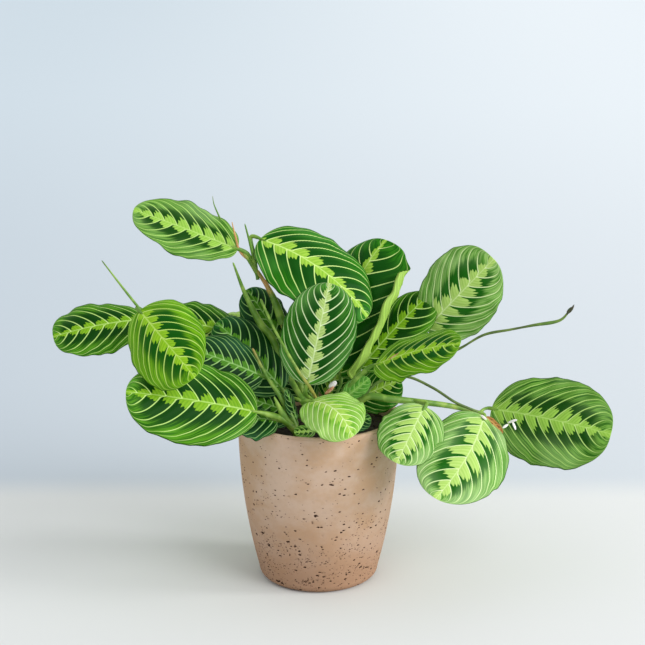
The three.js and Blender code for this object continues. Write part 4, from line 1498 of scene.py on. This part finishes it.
def pot_tree(material):
    """Presses the pits that the material darkens into the pot's skin."""
    growth = Growth("press_pits", {"Depth": "Float"})
    pits = all_pits(growth, growth.place())
    normal = growth.node("GeometryNodeInputNormal", {}, {}).out("Normal")
    _, _, z = growth.separate(growth.place())
    pressed = pits * growth.given("Depth") * -1 * z.step(*PITS_FROM)
    moved = growth.moved(growth.given("Mesh"), growth.scale(normal, pressed))
    return growth.finish(growth.smooth(moved), material)


SOIL_STEP = 1.6 * MM
SOIL_SIDE_STEP = 12 * MM
SOIL_SEGMENTS = 200
SOIL_POINTS = 12
FLOOR_GAP = 1 * MM
LUMP_DEPTH = 3.2 * MM
# How far below its middle the soil starts to have lumps, has them in full, and has crumbs.
LUMPS_FROM = 8 * MM
LUMPS_FULL = 5 * MM
CRUMBS_FROM = 6.5 * MM


def soil_profile(pot, soil):
    """From the middle of the underside, up the pot's wall and in over the crown."""
    floor = pot.floor + FLOOR_GAP
    edge = SOIL_TOP - soil.crown
    gap = pot.wall + soil.gap
    side = [(pot_radius(pot, z) - gap, z) for z in np.linspace(floor, edge, SOIL_POINTS)]
    rim = side[-1][0]
    crown = [(rim * r, edge + soil.crown * (1 - r * r)) for r in np.linspace(0.98, 0, SOIL_POINTS)]
    below = resampled([(0, floor), *side], SOIL_SIDE_STEP)
    return below + resampled([side[-1], *crown], SOIL_STEP)[1:]


def soil_tree(material, density):
    """Lumpy on top, with loose crumbs of many sizes scattered over it, so many to a square metre."""
    growth = Growth("crumble_soil", {"Crumb size": "Float", "Seed": "Int"})
    place = growth.place()
    _, _, z = growth.separate(place)
    on_top = z.step(SOIL_TOP - LUMPS_FROM, SOIL_TOP - LUMPS_FULL)
    lumps = growth.noise(place, 110.0, 4.0, 0.6) * -LUMP_DEPTH * on_top
    moved = growth.moved(growth.given("Mesh"), growth.vector(0.0, 0.0, lumps))
    has_crumbs = (z - (SOIL_TOP - CRUMBS_FROM)).above(0.0)
    sockets = {"Mesh": moved, "Selection": has_crumbs, "Density": density, "Seed": growth.given("Seed")}
    points = growth.node("GeometryNodeDistributePointsOnFaces", {}, sockets).out("Points")
    crumb = growth.node("GeometryNodeMeshIcoSphere", {}, {"Radius": 1.0, "Subdivisions": 1}).out("Mesh")
    shape = growth.chance_vector((0.3, 0.3, 0.25), (1.0, 1.0, 0.7), 1)
    size = growth.chance_number(0.35, 1.0, 2)
    turn = growth.chance_vector((0.0, 0.0, 0.0), (6.28, 6.28, 6.28), 3)
    scale = growth.scale(shape, size * size * growth.given("Crumb size"))
    sockets = {"Points": points, "Instance": crumb, "Rotation": turn, "Scale": scale}
    crumbs = growth.node("GeometryNodeInstanceOnPoints", {}, sockets).out("Instances")
    joined = growth.node("GeometryNodeJoinGeometry", {}, {"Geometry": [moved, crumbs]}).out("Geometry")
    return growth.finish(joined, material)


# ---------------------------------------------------------------- operators


def link(name, mesh, replaced=()):
    """A finished piece, at the origin, riding on the part."""
    piece = bpy.data.objects.new(name, mesh)
    bpy.context.scene.collection.objects.link(piece)
    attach(piece, BODY)
    if replaced:
        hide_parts(*replaced)


class PLANT_OT_pot(bpy.types.Operator):
    """Turn the pot and press its pits"""

    bl_idname = "plant.pot"
    bl_label = "Pot"

    def execute(self, context):
        settings = context.scene.plant_pot
        mesh = turned("pot_body", pot_profile(settings), POT_SEGMENTS)
        mesh = grown("pot_body", mesh, pot_tree(pot_finish(settings)), {"Depth": settings.pit_depth})
        link("pot_body", mesh, ["pot"])
        return {"FINISHED"}


class PLANT_OT_soil(bpy.types.Operator):
    """Fill the pot with soil"""

    bl_idname = "plant.soil"
    bl_label = "Soil"

    def execute(self, context):
        pot, soil = context.scene.plant_pot, context.scene.plant_soil
        profile = soil_profile(pot, soil)
        area = math.pi * max(radius for radius, _ in profile) ** 2
        tree = soil_tree(soil_finish(soil), soil.crumbs / area)
        mesh = turned("soil_crumbs", profile, SOIL_SEGMENTS)
        mesh = grown("soil_crumbs", mesh, tree, {"Crumb size": soil.crumb_size, "Seed": soil.seed})
        link("soil_crumbs", mesh, ["soil"])
        return {"FINISHED"}


class PLANT_OT_leaves(bpy.types.Operator):
    """Grow every leaf blade"""

    bl_idname = "plant.leaves"
    bl_label = "Leaves"

    def execute(self, context):
        settings = context.scene.plant_blade
        finishes = {tone: leaf_finish(tone, settings.vein_width) for tone in TONES}
        underside = underside_finish(settings.underside)
        leaves = [(node, leaf) for node, shoot in SHOOTS.items() for leaf in shoot.leaves]
        for number, (node, leaf) in enumerate(leaves, start=1):
            is_dry = leaf.tone == "dry"
            mesh = blade_mesh(leaf, number, settings)
            mesh.materials.append(finishes[leaf.tone])
            mesh.materials.append(finishes["dry"] if is_dry else underside)
            link(f"leaf_{leaf.name}", mesh, [node])
        return {"FINISHED"}


class PLANT_OT_stalks(bpy.types.Operator):
    """Grow every shoot's stem, its petioles and its rolled young leaves"""

    bl_idname = "plant.stalks"
    bl_label = "Stalks"

    def execute(self, context):
        settings = context.scene.plant_stalk
        tree = stalk_tree(stalk_finish(settings))
        for node, shoot in SHOOTS.items():
            paths = stalk_paths(node, stalks_of(shoot), settings.step)
            mesh = grown(f"{node}_stalks", paths, tree, {"Sides": settings.sides})
            if not mesh.polygons:
                raise RuntimeError(f"{node} has no stalks")
            link(f"{node}_stalks", mesh, [node])
        return {"FINISHED"}


class PLANT_OT_flowers(bpy.types.Operator):
    """Add the petals, the dry bits and the flower buds"""

    bl_idname = "plant.flowers"
    bl_label = "Flowers"

    def execute(self, context):
        blade, stalk = context.scene.plant_blade, context.scene.plant_stalk
        petal = plain_finish("petal", rgb(245, 243, 238), rgb(222, 214, 214), 400.0, 0.6)
        husk = plain_finish("bud_husk", rgb(70, 58, 40), rgb(52, 70, 34), 500.0, 0.6)
        dry = plain_finish("dry_bit", rgb(214, 176, 130), rgb(170, 112, 80), 500.0, 0.7)
        for bits, finish, slot in ((PETALS, petal, "petal"), (DRY_BITS, dry, "dry_leaf")):
            for bit in bits:
                mesh = blade_mesh(bit, 0, blade)
                mesh.materials.append(finish)
                mesh.materials.append(finish)
                link(bit.name, mesh)
        paths = stalk_paths("buds", BUDS, stalk.step)
        mesh = grown("flower_buds", paths, stalk_tree(husk), {"Sides": stalk.sides})
        link("flower_buds", mesh)
        return {"FINISHED"}


def light(name, comes_from, strength, softness):
    """A sun lamp that shines from a direction and looks softness wide."""
    lamp = bpy.data.lights.new(name, "SUN")
    lamp.angle = softness
    lamp.energy = strength
    made = bpy.data.objects.new(name, lamp)
    made.rotation_euler = Vector(comes_from).to_track_quat("Z", "Y").to_euler()
    bpy.context.scene.collection.objects.link(made)
    return made


class PLANT_OT_stage(bpy.types.Operator):
    """Set up the floor, the light and the camera"""

    bl_idname = "plant.stage"
    bl_label = "Stage"

    def execute(self, context):
        scene = context.scene
        settings = scene.plant_stage
        corners = [(x * FLOOR_REACH, y * FLOOR_REACH, 0) for x, y in ((-1, -1), (1, -1), (1, 1), (-1, 1))]
        mesh = bpy.data.meshes.new("floor")
        mesh.from_pydata(corners, [], [(0, 1, 2, 3)])
        mesh.materials.append(floor_finish(settings))
        floor = bpy.data.objects.new("floor", mesh)
        scene.collection.objects.link(floor)

        towards = Vector((0, math.cos(settings.pitch), -math.sin(settings.pitch)))
        lens = bpy.data.cameras.new("camera")
        lens.lens = settings.focal_length
        lens.sensor_width = SENSOR
        lens.clip_start = 0.05
        lens.clip_end = 50
        camera = bpy.data.objects.new("camera", lens)
        camera.location = Vector(settings.aim) - towards * settings.distance
        camera.rotation_euler = towards.to_track_quat("-Z", "Y").to_euler()
        scene.collection.objects.link(camera)
        scene.camera = camera

        front = light("front_light", settings.front_from, settings.front_light, settings.front_softness)
        side = light("side_light", settings.side_from, settings.side_light, settings.side_softness)
        world = bpy.data.worlds.new("room")
        world.use_nodes = True
        background = world.node_tree.nodes["Background"]
        background.inputs["Color"].default_value = (*settings.ambient_colour, 1)
        background.inputs["Strength"].default_value = settings.ambient
        scene.world = world
        scene.view_settings.view_transform = "Standard"
        return {"FINISHED"}


class PLANT_PT_panel(bpy.types.Panel):
    """Lists the plant's steps"""

    bl_idname = "PLANT_PT_panel"
    bl_label = "Prayer plant"
    bl_space_type = "VIEW_3D"
    bl_region_type = "UI"
    bl_category = "Prayer plant"

    def draw(self, context):
        for step in STEPS:
            self.layout.operator(step.bl_idname)


SETTINGS = {
    "plant_pot": PotSettings,
    "plant_soil": SoilSettings,
    "plant_blade": BladeSettings,
    "plant_stalk": StalkSettings,
    "plant_stage": StageSettings,
}
STEPS = [PLANT_OT_pot, PLANT_OT_soil, PLANT_OT_leaves, PLANT_OT_stalks, PLANT_OT_flowers, PLANT_OT_stage]


def register():
    for kind in (*SETTINGS.values(), *STEPS, PLANT_PT_panel):
        bpy.utils.register_class(kind)
    for name, kind in SETTINGS.items():
        setattr(bpy.types.Scene, name, PointerProperty(type=kind))


def unregister():
    for name in SETTINGS:
        delattr(bpy.types.Scene, name)
    for kind in reversed((*SETTINGS.values(), *STEPS, PLANT_PT_panel)):
        bpy.utils.unregister_class(kind)


def main():
    register()
    bpy.ops.plant.pot()
    bpy.ops.plant.soil()
    bpy.ops.plant.leaves()
    bpy.ops.plant.stalks()
    bpy.ops.plant.flowers()
    bpy.ops.plant.stage()


if __name__ == "__main__":
    main()
